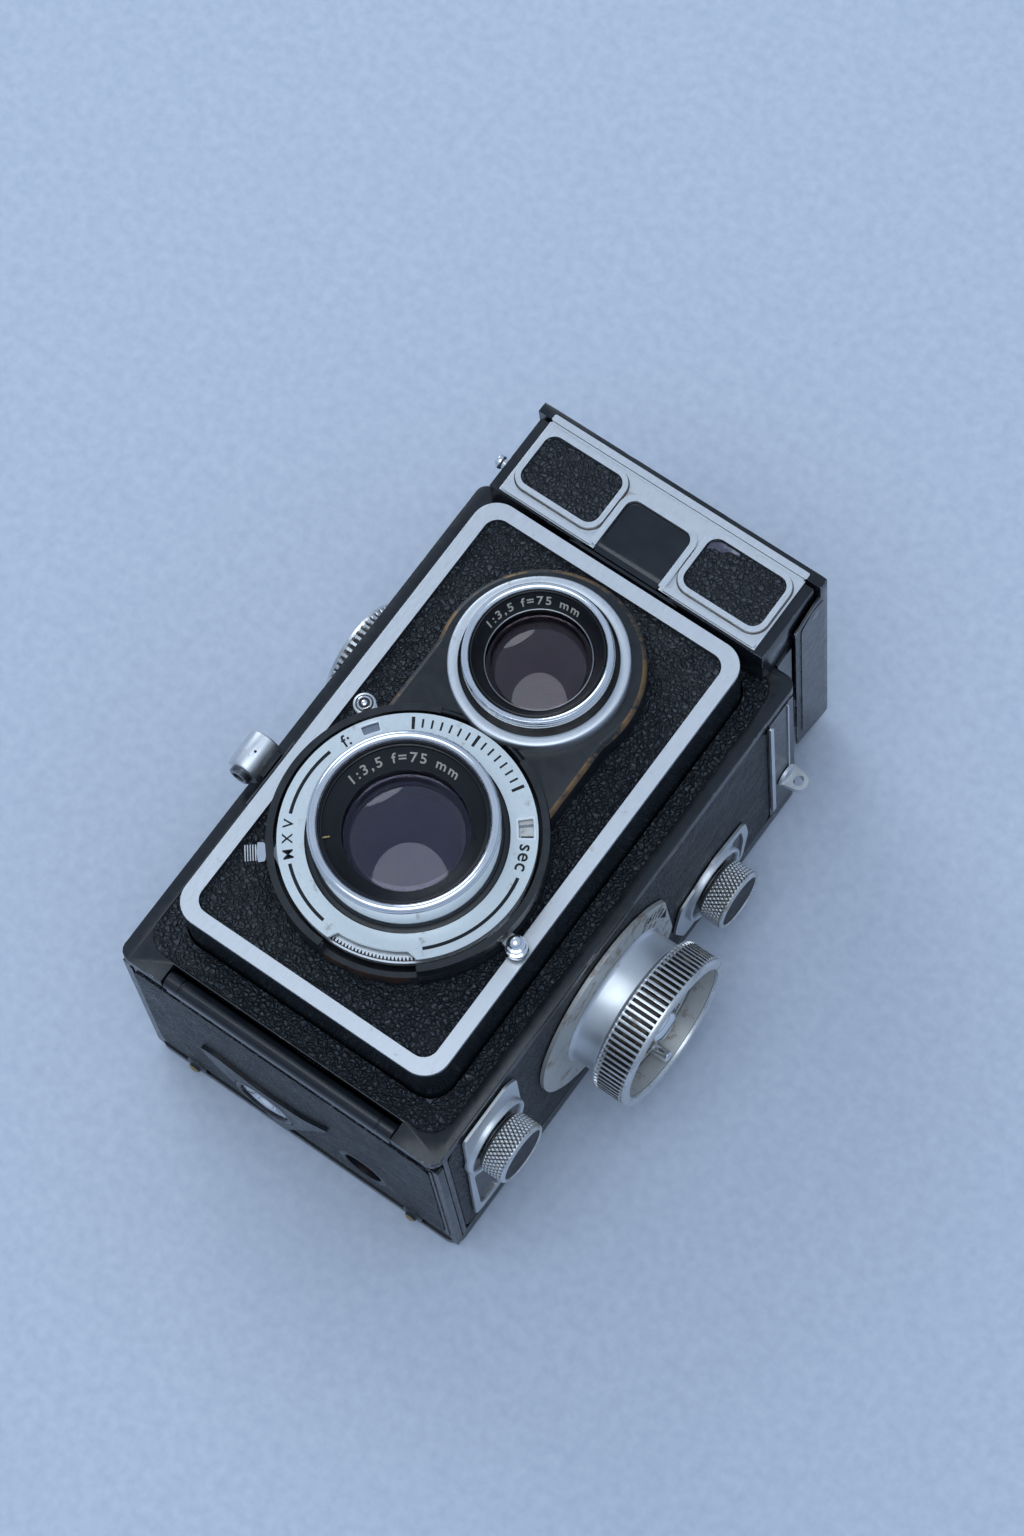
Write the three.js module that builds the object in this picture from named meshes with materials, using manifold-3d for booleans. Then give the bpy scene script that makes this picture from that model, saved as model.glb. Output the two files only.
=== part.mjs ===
// Twin lens reflex camera, lying on its back, in millimetres.
// +Z is the axis of both lenses and points out of the front, +Y points to the focusing hood,
// and +X to the focusing knob. The origin is the middle of the back door's outer face.
import * as THREE from "three";
import { mergeVertices } from "three/addons/utils/BufferGeometryUtils.js";
import Module from "manifold-3d";

const wasm = await Module();
wasm.setup();

// ---------- driving dimensions ----------
const GAP = 0.3; // clearance between neighbouring pieces
const HALF = 39; // half width of the body
const TOP = 61.75; // the body runs from -TOP to TOP along Y
const FRONT = 59.4; // front border above the back
const WALL = 2.5;
const SKIN = 0.5; // leather thickness
const SKIN_GAP = 0.1;
const DOOR = 2.4; // thickness of the back door
const VIEW_Y = 29.35; // viewing lens axis
const TAKE_Y = -14.5; // taking lens axis
const BOARD = { x: 31.9, y0: -51.15, y1: 55.95, back: 53, front: 72.4, corner: 5.5, wall: 1.5 };
const TRIM = { back: 72.5, front: 73.3 };
const GATE = { half: 28, y0: -42.5, y1: 13.5, back: 5.4, front: 7 };
const UPPER_SPOOL = { y: 28.5, z: 17 };
const LOWER_SPOOL = { y: -45.7, z: 40.2 };
const SPOOL = { half: 31, flange: 12.5, core: 6, hole: 2.6, flangeThick: 0.9 };
const FOCUS = { y: -5.5, z: 29, bore: 2.6, shaft: 2.3 };
const MIRROR = { sum: 67.9, thick: 1.5, half: 26, y0: 17, y1: 56 };
const PLATE = { view: 21.2, half: 20.2, back: 72.5, front: 79.2 };
const HOUSING = { r: 27.6, wall: 1.1, back: 72.6, floor: 73.8, top: 80.4, barrel: 20, bore: 17.2 };
const HOOD = { half: 34, y0: 62.05, glass: 64.2, rim: 66.8, z0: 3.4, z1: 59.7 };
const HOOD_FRONT = { half: 33.4, y0: 57.6, y1: 75.6, back: 59.75, front: 72.2 };
const LID = { half: 34.6, y0: 76.3, y1: 78.7, z0: 3, z1: 73, skirt: 67.5, thick: 0.5 };
const FLAP = { thick: 0.8, width: 27, hinge: 32, y: 70, rearY: 68, z0: 6.5, z1: 57 };
const LOUPE = { y: 74, z: 35, r: 13, lens: 11.2, thick: 1.6 };
const HINGE = { y: -59.9, z: 57.4, pin: 0.8, tube: 1.9, half: 28 };
const KNURL = { r: 6.9, x0: 41.5, x1: 47.2 };

// ---------- materials ----------
const finish = (color, roughness, metalness) =>
  new THREE.MeshStandardMaterial({ color, roughness, metalness });
const enamel = () => finish(0x101214, 0.25, 0.1);
const leather = () => finish(0x17191b, 0.7, 0);
const satin = () => finish(0xb9bdc0, 0.38, 0.9);
const chrome = () => finish(0xd8dadc, 0.15, 1);
const black = () => finish(0x0b0b0c, 0.5, 0);
const glass = (color) => finish(color, 0.05, 0);

// ---------- solids ----------
// A closed geometry as a manifold solid, whichever way round its faces were made.
function solid(geometry) {
  const bare = geometry.index ? geometry.clone() : geometry;
  for (const name of Object.keys(bare.attributes)) if (name !== "position") bare.deleteAttribute(name);
  const merged = mergeVertices(bare, 1e-4);
  const index = [...merged.index.array];
  const position = merged.attributes.position;
  const a = new THREE.Vector3();
  const b = new THREE.Vector3();
  const c = new THREE.Vector3();
  const triangles = [];
  let volume = 0;
  for (let i = 0; i < index.length; i += 3) {
    const [p, q, r] = index.slice(i, i + 3);
    if (p === q || q === r || p === r) continue;
    a.fromBufferAttribute(position, p);
    b.fromBufferAttribute(position, q);
    c.fromBufferAttribute(position, r);
    volume += a.dot(b.cross(c));
    triangles.push([p, q, r]);
  }
  const triVerts = new Uint32Array(triangles.flatMap(([p, q, r]) => (volume < 0 ? [p, r, q] : [p, q, r])));
  const vertProperties = new Float32Array(position.array);
  return new wasm.Manifold(new wasm.Mesh({ numProp: 3, vertProperties, triVerts }));
}

const join = (first, ...rest) => rest.reduce((sum, piece) => sum.add(piece), first);
const cut = (first, ...rest) => rest.reduce((left, piece) => left.subtract(piece), first);

function box(x0, x1, y0, y1, z0, z1) {
  const geometry = new THREE.BoxGeometry(x1 - x0, y1 - y0, z1 - z0);
  return solid(geometry.translate((x0 + x1) / 2, (y0 + y1) / 2, (z0 + z1) / 2));
}

// Turns a drawing plane's axes into the part's axes; the extrusion runs along the third.
const X = new THREE.Vector3(1, 0, 0);
const Y = new THREE.Vector3(0, 1, 0);
const Z = new THREE.Vector3(0, 0, 1);
const PLANES = {
  xy: new THREE.Matrix4(),
  yz: new THREE.Matrix4().makeBasis(Y, Z, X),
  xz: new THREE.Matrix4().makeBasis(X, Z, Y.clone().negate()),
};

// A flat shape given thickness from one level to another along the plane's normal.
function slab(shape, low, high, plane = "xy", curveSegments = 2) {
  const depth = high - low;
  const geometry = new THREE.ExtrudeGeometry(shape, { depth, bevelEnabled: false, curveSegments });
  geometry.translate(0, 0, plane === "xz" ? -high : low);
  return solid(geometry.applyMatrix4(PLANES[plane]));
}

function roundedRect(x0, x1, y0, y1, r) {
  const shape = new THREE.Shape();
  shape.absarc(x1 - r, y1 - r, r, 0, Math.PI / 2);
  shape.absarc(x0 + r, y1 - r, r, Math.PI / 2, Math.PI);
  shape.absarc(x0 + r, y0 + r, r, Math.PI, 1.5 * Math.PI);
  shape.absarc(x1 - r, y0 + r, r, 1.5 * Math.PI, 2 * Math.PI);
  return shape;
}

// A disc outline with pointed teeth, for a ribbed, knurled or serrated rim.
function toothed(teeth, outer, inner, centreU, centreV) {
  const points = [];
  for (let i = 0; i < 2 * teeth; i++) {
    const angle = (Math.PI * i) / teeth;
    const r = i % 2 ? inner : outer;
    points.push([centreU + r * Math.cos(angle), centreV + r * Math.sin(angle)]);
  }
  return polygon(...points);
}

function polygon(...points) {
  return new THREE.Shape(points.map(([u, v]) => new THREE.Vector2(u, v)));
}

// A profile of [radius, place along the axis] points turned about an axis through a centre.
function turned(profile, axis, [cx, cy, cz], segments = 24) {
  const closed = profile[0][0] > 0 ? [...profile, profile[0]] : profile;
  const points = closed.map(([r, along]) => new THREE.Vector2(r, along));
  const geometry = new THREE.LatheGeometry(points, segments);
  if (axis === "z") geometry.rotateX(Math.PI / 2);
  if (axis === "x") geometry.rotateZ(-Math.PI / 2);
  return solid(geometry.translate(cx, cy, cz));
}

const ring = (inner, outer, low, high, axis, centre, segments) =>
  turned([[inner, low], [outer, low], [outer, high], [inner, high]], axis, centre, segments);
const rod = (r, low, high, axis, centre, segments) =>
  turned([[0, low], [r, low], [r, high], [0, high]], axis, centre, segments);

// Part of a ring about the taking lens, from one angle to another in degrees.
function sector(inner, outer, from, to, low, high) {
  const a = THREE.MathUtils.degToRad(from);
  const b = THREE.MathUtils.degToRad(to);
  const shape = new THREE.Shape();
  shape.absarc(0, TAKE_Y, outer, a, b);
  shape.absarc(0, TAKE_Y, inner, b, a, true);
  return slab(shape, low, high, "xy", Math.max(2, Math.round((to - from) / 20)));
}

// A flat strip of the Y-Z plane between two points, for slanted walls.
function strip([y0, z0], [y1, z1], thick, x0, x1) {
  const length = Math.hypot(y1 - y0, z1 - z0);
  const ny = (-(z1 - z0) / length) * thick;
  const nz = ((y1 - y0) / length) * thick;
  return slab(polygon([y0, z0], [y1, z1], [y1 + ny, z1 + nz], [y0 + ny, z0 + nz]), x0, x1, "yz");
}

// ---------- assembly ----------
const camera = new THREE.Group();

function addTo(parent, name, piece, material) {
  const mesh = piece.getMesh();
  const stride = mesh.numProp;
  const positions = new Float32Array(mesh.numVert * 3);
  for (let i = 0; i < mesh.numVert; i++) {
    positions.set(mesh.vertProperties.subarray(i * stride, i * stride + 3), i * 3);
  }
  const geometry = new THREE.BufferGeometry();
  geometry.setAttribute("position", new THREE.BufferAttribute(positions, 3));
  geometry.setIndex(new THREE.BufferAttribute(mesh.triVerts, 1));
  geometry.computeVertexNormals();
  const node = new THREE.Mesh(geometry, material);
  node.name = name;
  parent.add(node);
}

function group() {
  const made = new THREE.Group();
  camera.add(made);
  return made;
}

// ---------- body ----------
function bodyShell() {
  const inner = HALF - WALL;
  const floor = -TOP + WALL;
  const side = inner + 0.1;
  const outer = cut(
    slab(roundedRect(-HALF, HALF, -TOP, TOP, 2.4), DOOR + GAP, FRONT),
    box(-HALF - 1, HALF + 1, -TOP - 1, floor - 0.05, 0, FRONT - WALL),
  );
  const hollow = box(-inner, inner, floor - 1, TOP - WALL, 0, FRONT - WALL);
  const boardHole = box(-BOARD.x - 0.5, BOARD.x + 0.5, BOARD.y0 - 0.5, BOARD.y1 + 0.5, 50, 65);
  const hoodHole = box(-28, 28, TOP - WALL - 1, TOP + 1, 8, 52);
  const hingeNotch = box(-HINGE.half - GAP, HINGE.half + GAP, -TOP - 1, -57.3, 55, 65);
  const borderRecess = slab(roundedRect(-36.2, 36.2, -57, 59.4, 5), FRONT - SKIN - SKIN_GAP, 65);
  const sideRecess = (x) => box(x - 0.6, x + 0.6, -58, 60.4, 4.6, 56);
  const openings = [hollow, boardHole, hoodHole, hingeNotch];
  const shell = cut(outer, ...openings, borderRecess, sideRecess(HALF), sideRecess(-HALF));

  const gate = cut(
    box(-side, side, -44, 15.1, GATE.back, GATE.front),
    box(-GATE.half, GATE.half, GATE.y0, GATE.y1, 0, 10),
  );
  const upperBaffle = box(-side, side, 13.7, 14.7, GATE.front - 0.1, 51.8);
  const lowerBaffle = strip([-42.9, GATE.front - 0.2], [-27.6, 50], 0.8, -side, side);
  const bracketSum = MIRROR.sum - (MIRROR.thick + GAP) * Math.SQRT2;
  const bracketTop = TOP - WALL + 0.1;
  const bracketEnds = [bracketTop, 14.2].map((y) => [y, bracketSum - y]);
  const mirrorBracket = strip(...bracketEnds, 0.8, -side, side);
  const lug = (x0, x1) => box(x0, x1, -61.5, -57.9, 55.4, FRONT - 1);
  const spoolStub = turned(
    [[0, -side], [4, -side], [4, -31.7], [2.2, -31.7], [2.2, -29.6], [0, -29.6]],
    "x",
    [0, LOWER_SPOOL.y, LOWER_SPOOL.z],
    16,
  );
  const inside = join(gate, upperBaffle, lowerBaffle, mirrorBracket, spoolStub);

  const through = (r, x0, x1, { y, z }) => rod(r, x0, x1, "x", [0, y, z], 16);
  const rollerBores = ROLLERS.map((roller) => rod(1, -37.9, 37.9, "x", [0, roller.y, roller.z], 8));
  return cut(
    join(shell, inside, lug(28.6, 36.4), lug(-36.4, -28.6)),
    through(FOCUS.bore, 30, 42, FOCUS),
    through(3.9, 33, 42, UPPER_SPOOL),
    through(3.9, 33, 42, LOWER_SPOOL),
    through(2.8, -42, -33, UPPER_SPOOL),
    rod(1, -36, 36, "x", [0, HINGE.y, HINGE.z], 8),
    ...rollerBores,
  );
}

const ROLLERS = [
  { name: "film_roller_top", y: 17.5, z: 6.8, r: 1.9 },
  { name: "film_roller_bottom", y: -47, z: 8, r: 2.4 },
];

function buildBody() {
  const body = group();
  addTo(body, "body_shell", bodyShell(), enamel());
  const border = cut(
    slab(roundedRect(-36.1, 36.1, -56.9, 59.3, 4.9), FRONT - SKIN, FRONT),
    slab(roundedRect(-33, 33, BOARD.y0 - 1.1, BOARD.y1 + 1.1, 4), 50, 65),
  );
  addTo(body, "front_border_leather", border, leather());
  const sideOutline = (low, high) => {
    const sheet = slab(roundedRect(-57.8, 60.2, 4.8, 55.8, 3), low, high, "yz");
    const hole = ({ y, z }, r) => rod(r, low - 1, high + 1, "x", [0, y, z], 16);
    return cut(sheet, hole(UPPER_SPOOL, 4.3), hole(LOWER_SPOOL, 4.3), hole(FOCUS, 3));
  };
  addTo(body, "right_side_leather", sideOutline(HALF - SKIN, HALF), leather());
  addTo(body, "left_side_leather", sideOutline(-HALF, -HALF + SKIN), leather());
  addTo(body, "hinge_pin", rod(HINGE.pin, -35.7, 35.7, "x", [0, HINGE.y, HINGE.z], 8), chrome());

  const flange = slab(roundedRect(-27.4, 14.5, 12, 53.4, 17), 39.3, 40.2, "yz", 5);
  const drum = rod(15.4, 39.3, 46.8, "x", [0, FOCUS.y, FOCUS.z], 26);
  const focusFlange = cut(join(flange, drum), rod(FOCUS.bore, 30, 50, "x", [0, FOCUS.y, FOCUS.z], 16));
  addTo(body, "focus_flange", focusFlange, satin());

  const wing = (shape, spool) =>
    cut(
      join(slab(shape, 39.3, 39.9, "yz"), ring(4.4, 8.6, 39.3, 40.6, "x", [0, spool.y, spool.z], 24)),
      rod(4.2, 30, 50, "x", [0, spool.y, spool.z], 20),
    );
  const upperWing = polygon(
    [18.3, 7.5], [39.5, 7.5], [42, 17], [41.2, 24.5], [31, 26.3], [18, 23], [15.5, 15],
  );
  addTo(body, "upper_wing_plate", wing(upperWing, UPPER_SPOOL), satin());
  const lowerWing = polygon(
    [-55.2, 9.4], [-53.2, 8.4], [-46, 8.4], [-36.5, 35], [-36.5, 53], [-39, 55.6], [-53.6, 55.6],
  );
  addTo(body, "lower_wing_plate", wing(lowerWing, LOWER_SPOOL), satin());

  // Each strap lug is an eye on a tapered tongue that stands on a strip down the side.
  const lug = (side) => {
    const strip = box(39.2, 39.9, 51.2, 57.8, 9, 55.5);
    const tongue = new THREE.Shape();
    tongue.absarc(42.4, 56, 2.6, -Math.PI / 2, Math.PI / 2);
    tongue.lineTo(39.6, 57.4);
    tongue.lineTo(39.6, 52.6);
    const eye = cut(slab(tongue, 17.2, 18.9, "xy", 4), rod(1.35, 15, 21, "z", [42.5, 56, 0], 12));
    const right = join(strip, eye);
    return side > 0 ? right : right.mirror([1, 0, 0]);
  };
  addTo(body, "strap_lug_right", lug(1), satin());
  addTo(body, "strap_lug_left", lug(-1), satin());

  const mirrorEnd = (y) => [y, MIRROR.sum - y];
  const mirror = strip(mirrorEnd(MIRROR.y1), mirrorEnd(MIRROR.y0), MIRROR.thick, -MIRROR.half, MIRROR.half);
  addTo(body, "mirror", mirror, finish(0xc8ccd0, 0.03, 1));
}

// ---------- hood ----------
function buildHood() {
  const base = group();
  const frame = cut(
    box(-HOOD.half, HOOD.half, HOOD.y0, HOOD.rim, HOOD.z0, HOOD.z1),
    box(-29, 29, 60, 70, 7.5, 56.5),
  );
  const { half, y0, y1, back, front } = HOOD_FRONT;
  const block = box(-half, half, y0, y1, back, front);
  const bridge = box(-half, half, HOOD.y0, HOOD.rim, HOOD.z1 - 1, back + 1);
  addTo(base, "hood_base", join(frame, bridge, block), enamel());
  addTo(base, "ground_glass", box(-28.7, 28.7, 62.4, HOOD.glass, 7.8, 56.2), glass(0xc9cfd2));

  // The front plate has a notch below its middle for the badge, and a recess for each leather.
  const plate = { x: 31.25, y0: 57.95, y1: 75.95, back: 72.5, front: 73.4 };
  const badgeOutline = (grow) => roundedRect(-8.3 - grow, 8.3 + grow, 50, 71 + grow, 2.2 + grow);
  const panel = (x0, x1, grow) => roundedRect(x0 - grow, x1 + grow, 61.6 - grow, 73.1 + grow, 2.4 + grow);
  const rims = [[-28.6, -11.4], [11.4, 28.6]];
  const flat = cut(
    box(-plate.x, plate.x, plate.y0, plate.y1, plate.back, plate.front - 0.3),
    slab(badgeOutline(0.3), 70, 75),
  );
  const raised = rims.map(([x0, x1]) => slab(panel(x0, x1, 1.1), plate.front - 0.4, plate.front));
  const recesses = rims.map(([x0, x1]) => slab(panel(x0, x1, 0), plate.front - SKIN, 75));
  addTo(base, "hood_front_plate", cut(join(flat, ...raised), ...recesses), satin());
  const insert = ([x0, x1]) => slab(panel(x0, x1, -0.1), plate.front - SKIN + SKIN_GAP, plate.front - 0.1);
  addTo(base, "hood_leather_left", insert(rims[0]), leather());
  addTo(base, "hood_leather_right", insert(rims[1]), leather());
  const badge = cut(slab(badgeOutline(0), plate.back, plate.front), box(-20, 20, 40, 58.1, 70, 75));
  addTo(base, "badge_plate", badge, finish(0x0d0f12, 0.08, 0));

  const lid = group();
  const skirtOutline = polygon(
    [LID.skirt, 5.5], [LID.y0 + 0.5, LID.z0], [LID.y1, LID.z0 + 2],
    [LID.y1, 68], [74, 68.6], [LID.skirt, 66],
  );
  const skirt = (x0, x1) => slab(skirtOutline, x0, x1, "yz");
  const top = box(-LID.half, LID.half, LID.y0, LID.y1, LID.z0, LID.z1);
  const skirts = [skirt(LID.half - LID.thick, LID.half), skirt(-LID.half, -LID.half + LID.thick)];
  const ear = (x) => box(x, x + 1.5, LOUPE.y - 1, LID.y0 + 0.2, LOUPE.z - 1, LOUPE.z + 1.5);
  const loupeEars = [-15.2, 13.7].map(ear);
  addTo(lid, "hood_lid", join(top, ...skirts, ...loupeEars), enamel());

  const flaps = group();
  const reach = FLAP.hinge - FLAP.width;
  const cutZ = LID.z1 - FLAP.width - 1.5;
  const cornerReach = LID.z1 - FLAP.z1 - 1.5;
  const side = (sign) =>
    slab(
      polygon(
        [sign * FLAP.hinge, FLAP.z0],
        [sign * reach, FLAP.z0],
        [sign * reach, cutZ],
        [sign * (FLAP.hinge - cornerReach), FLAP.z1],
        [sign * FLAP.hinge, FLAP.z1],
      ),
      FLAP.y - FLAP.thick / 2,
      FLAP.y + FLAP.thick / 2,
      "xz",
    );
  addTo(flaps, "hood_flap_left", side(-1), enamel());
  addTo(flaps, "hood_flap_right", side(1), enamel());
  const rearHalf = FLAP.hinge - 2;
  const rear = slab(
    polygon(
      [-rearHalf, FLAP.z0],
      [rearHalf, FLAP.z0],
      [rearHalf - FLAP.width + 1, FLAP.z0 + FLAP.width - 1],
      [-rearHalf + FLAP.width - 1, FLAP.z0 + FLAP.width - 1],
    ),
    FLAP.rearY - FLAP.thick / 2,
    FLAP.rearY + FLAP.thick / 2,
    "xz",
  );
  addTo(flaps, "hood_rear_flap", rear, enamel());

  const loupeCentre = [0, 0, LOUPE.z - LOUPE.r - 2];
  const low = LOUPE.y - LOUPE.thick / 2;
  const arm = box(-13.4, 13.4, low, low + LOUPE.thick, LOUPE.z - 6, LOUPE.z + 1);
  const loupeHoop = rod(LOUPE.r, low, low + LOUPE.thick, "y", loupeCentre, 24);
  const loupeHole = rod(LOUPE.lens + 0.3, low - 1, low + 3, "y", loupeCentre, 24);
  addTo(flaps, "magnifier_arm", cut(join(arm, loupeHoop), loupeHole), enamel());
  const bulge = [
    [0, low - 0.6], [6, low - 0.3], [LOUPE.lens, low + 0.5],
    [LOUPE.lens, low + 1.1], [6, low + 1.9], [0, low + 2.1],
  ];
  addTo(flaps, "magnifier_lens", turned(bulge, "y", loupeCentre, 24), glass(0xd9e2e6));

  const latch = join(box(-36.6, -33.7, 64.4, 66, 65.2, 66.8), box(-37.4, -36.4, 63.6, 66.8, 64.4, 67.6));
  addTo(flaps, "hood_latch", latch, chrome());
}

// ---------- front standard ----------
// The lens plate is the upper lens's disc and a straight neck, cut away round the shutter.
function plateOutline(grow) {
  const view = rod(PLATE.view + grow, 0, 1, "z", [0, VIEW_Y, 0], 32);
  const neck = box(-PLATE.half - grow, PLATE.half + grow, TAKE_Y, VIEW_Y, 0, 1);
  return join(view, neck);
}

const stretch = (piece, low, high) => piece.scale([1, 1, high - low]).translate([0, 0, low]);
const view = (y = VIEW_Y) => [0, y, 0];
const take = [0, TAKE_Y, 0];

function buildStandard() {
  const standard = group();
  const { x, y0, y1, back, front, corner, wall } = BOARD;
  const boardOutline = roundedRect(-x, x, y0, y1, corner);
  const tray = cut(
    slab(boardOutline, back, front),
    slab(roundedRect(-x + wall, x - wall, y0 + wall, y1 - wall, corner - wall), back - 1, front - 2),
    slab(roundedRect(-28.7, 28.7, y0 + 3.2, y1 - 3.2, 3.2), front - SKIN - SKIN_GAP, front + 1),
    rod(20.5, 60, 80, "z", take, 24),
    rod(14, 60, 80, "z", view(), 24),
  );
  const followerArm = box(x - wall, x, 0.5, 4.5, 22, back + 0.2);
  const releaseRail = box(-x - 2.5, -x + 0.1, -24, -8, 64.2, 67.8);
  addTo(standard, "lens_board", join(tray, followerArm, releaseRail), enamel());

  const inset = (grow) => roundedRect(-28.6 + grow, 28.6 - grow, y0 + 3.3 + grow, y1 - 3.3 - grow, 3.1);
  const skin = cut(
    slab(inset(0.1), front - SKIN, front),
    stretch(plateOutline(0.4), 60, 80),
    rod(HOUSING.r + 0.4, 60, 80, "z", take, 32),
  );
  addTo(standard, "board_leather", skin, leather());
  const trim = cut(slab(boardOutline, TRIM.back, TRIM.front), slab(inset(0), 60, 80));
  addTo(standard, "frame_trim", trim, satin());
  const plate = cut(
    stretch(plateOutline(0), PLATE.back, PLATE.front),
    rod(HOUSING.r + GAP, 60, 90, "z", take, 32),
    rod(15.9, 74, 90, "z", view(), 26),
    rod(13.6, 60, 90, "z", view(), 24),
  );
  addTo(standard, "lens_plate", plate, enamel());

  addTo(standard, "viewing_ring", ring(16.1, 18, PLATE.front + 0.2, 82.2, "z", view(), 32), satin());
  const bezel = [[13.4, 74.4], [15.1, 74.4], [15.1, 85.9], [14.5, 86.5], [13.4, 86.5]];
  addTo(standard, "viewing_bezel", turned(bezel, "z", view(), 26), chrome());
  const names = [[10.8, 62], [13.2, 62], [13.2, 85.9], [10.8, 82.6]];
  addTo(standard, "viewing_name_ring", turned(names, "z", view(), 26), black());
  const viewGlass = [[0, 76], [10.5, 77], [10.5, 80.6], [8, 81.4], [4, 82], [0, 82.2]];
  addTo(standard, "viewing_lens", turned(viewGlass, "z", view(), 24), glass(0x4a3f4c));

  // Slots in the housing's wall let the levers out, and the notch bares the speed ring.
  const cup = cut(
    rod(HOUSING.r, HOUSING.back, HOUSING.top, "z", take, 36),
    ring(HOUSING.barrel, HOUSING.r - HOUSING.wall, HOUSING.floor, 90, "z", take, 36),
  );
  const barrel = rod(HOUSING.barrel, 60.4, 80.2, "z", take, 26);
  const slots = LEVERS.map(({ at, low, high }) => sector(26, 29, at + low - 9, at + high + 9, 74.7, 76.9));
  const notch = sector(25, 29, -92, -48, 76.95, 90);
  const viewingRelief = rod(18.3, 79.25, 90, "z", view(), 32);
  const bore = rod(HOUSING.bore, 50, 90, "z", take, 26);
  const housing = cut(join(cup, barrel), bore, ...slots, notch, viewingRelief);
  addTo(standard, "shutter_housing", housing, enamel());
  const face = cut(ring(20.1, 25.5, 80.5, 81.2, "z", take, 36), sector(23.4, 29, -90, -52, 70, 90));
  addTo(standard, "shutter_faceplate", face, satin());
  const wideBezel = [[16.7, 80.6], [18.8, 80.6], [18.8, 89.2], [18.1, 89.9], [16.7, 89.9]];
  addTo(standard, "taking_bezel", turned(wideBezel, "z", take, 32), chrome());
  const wideNames = [[12.6, 62], [16.4, 62], [16.4, 88.2], [12.6, 84]];
  addTo(standard, "taking_name_ring", turned(wideNames, "z", take, 32), black());
  const takeGlass = [[0, 77], [12.3, 78.5], [12.3, 82.2], [9, 83.4], [4.5, 84.2], [0, 84.5]];
  addTo(standard, "taking_lens", turned(takeGlass, "z", take, 26), glass(0x3d3450));
  const rearGroup = [[0, 54.6], [7, 55.2], [12, 57], [16, 57], [16, 61.7], [0, 61.7]];
  addTo(standard, "rear_lens_cell", turned(rearGroup, "z", take, 24), glass(0x2c2c34));
  buildShutterControls();
}

// Angles are about the taking lens axis, in degrees; low and high are each lever's travel.
const LEVERS = [
  { name: "aperture_lever", at: -10, low: -35, high: 12, tip: 30, knobR: 2, top: 80 },
  { name: "cocking_lever", at: 143, low: 0, high: 38, tip: 30.8, knobR: 2.3, top: 77.6 },
  { name: "sync_lever", at: 218.5, low: -9, high: 9, tip: 30.6, top: 77.2 },
];

function buildShutterControls() {
  const controls = group();
  const speed = cut(slab(toothed(40, 25.4, 24.7, 0, TAKE_Y), 77.3, 79.3), rod(20.4, 70, 90, "z", take, 24));
  addTo(controls, "speed_ring", speed, satin());

  for (const { name, at, tip, knobR, top } of LEVERS) {
    const angle = THREE.MathUtils.degToRad(at);
    const shoe = sector(21, 26, at - 7, at + 7, 75, 76.6);
    const swung = (piece) => piece.rotate([0, 0, at]).translate([0, TAKE_Y, 0]);
    const arm = swung(box(25, tip, -1, 1, 75, 76.6));
    const knob = knobR
      ? rod(knobR, 74.9, top, "z", [tip * Math.cos(angle), TAKE_Y + tip * Math.sin(angle), 0], 16)
      : swung(box(tip - 2, tip + 1.6, -1.9, 1.9, 74.9, top));
    addTo(controls, name, join(shoe, arm, knob), chrome());
  }

  const barrelX = -39.3;
  const barrel = rod(3.7, -18.8, -10.5, "y", [barrelX, 0, 66], 20);
  const stem = rod(2.6, -20.6, -18.6, "y", [barrelX, 0, 66], 16);
  const socket = rod(1.3, -21, -15, "y", [barrelX, 0, 66], 10);
  const shoe = box(barrelX + 2, -BOARD.x - 2.5 - GAP, -17.5, -11.5, 64.8, 67.2);
  addTo(controls, "shutter_release", cut(join(barrel, stem, shoe), socket), satin());
}

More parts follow.
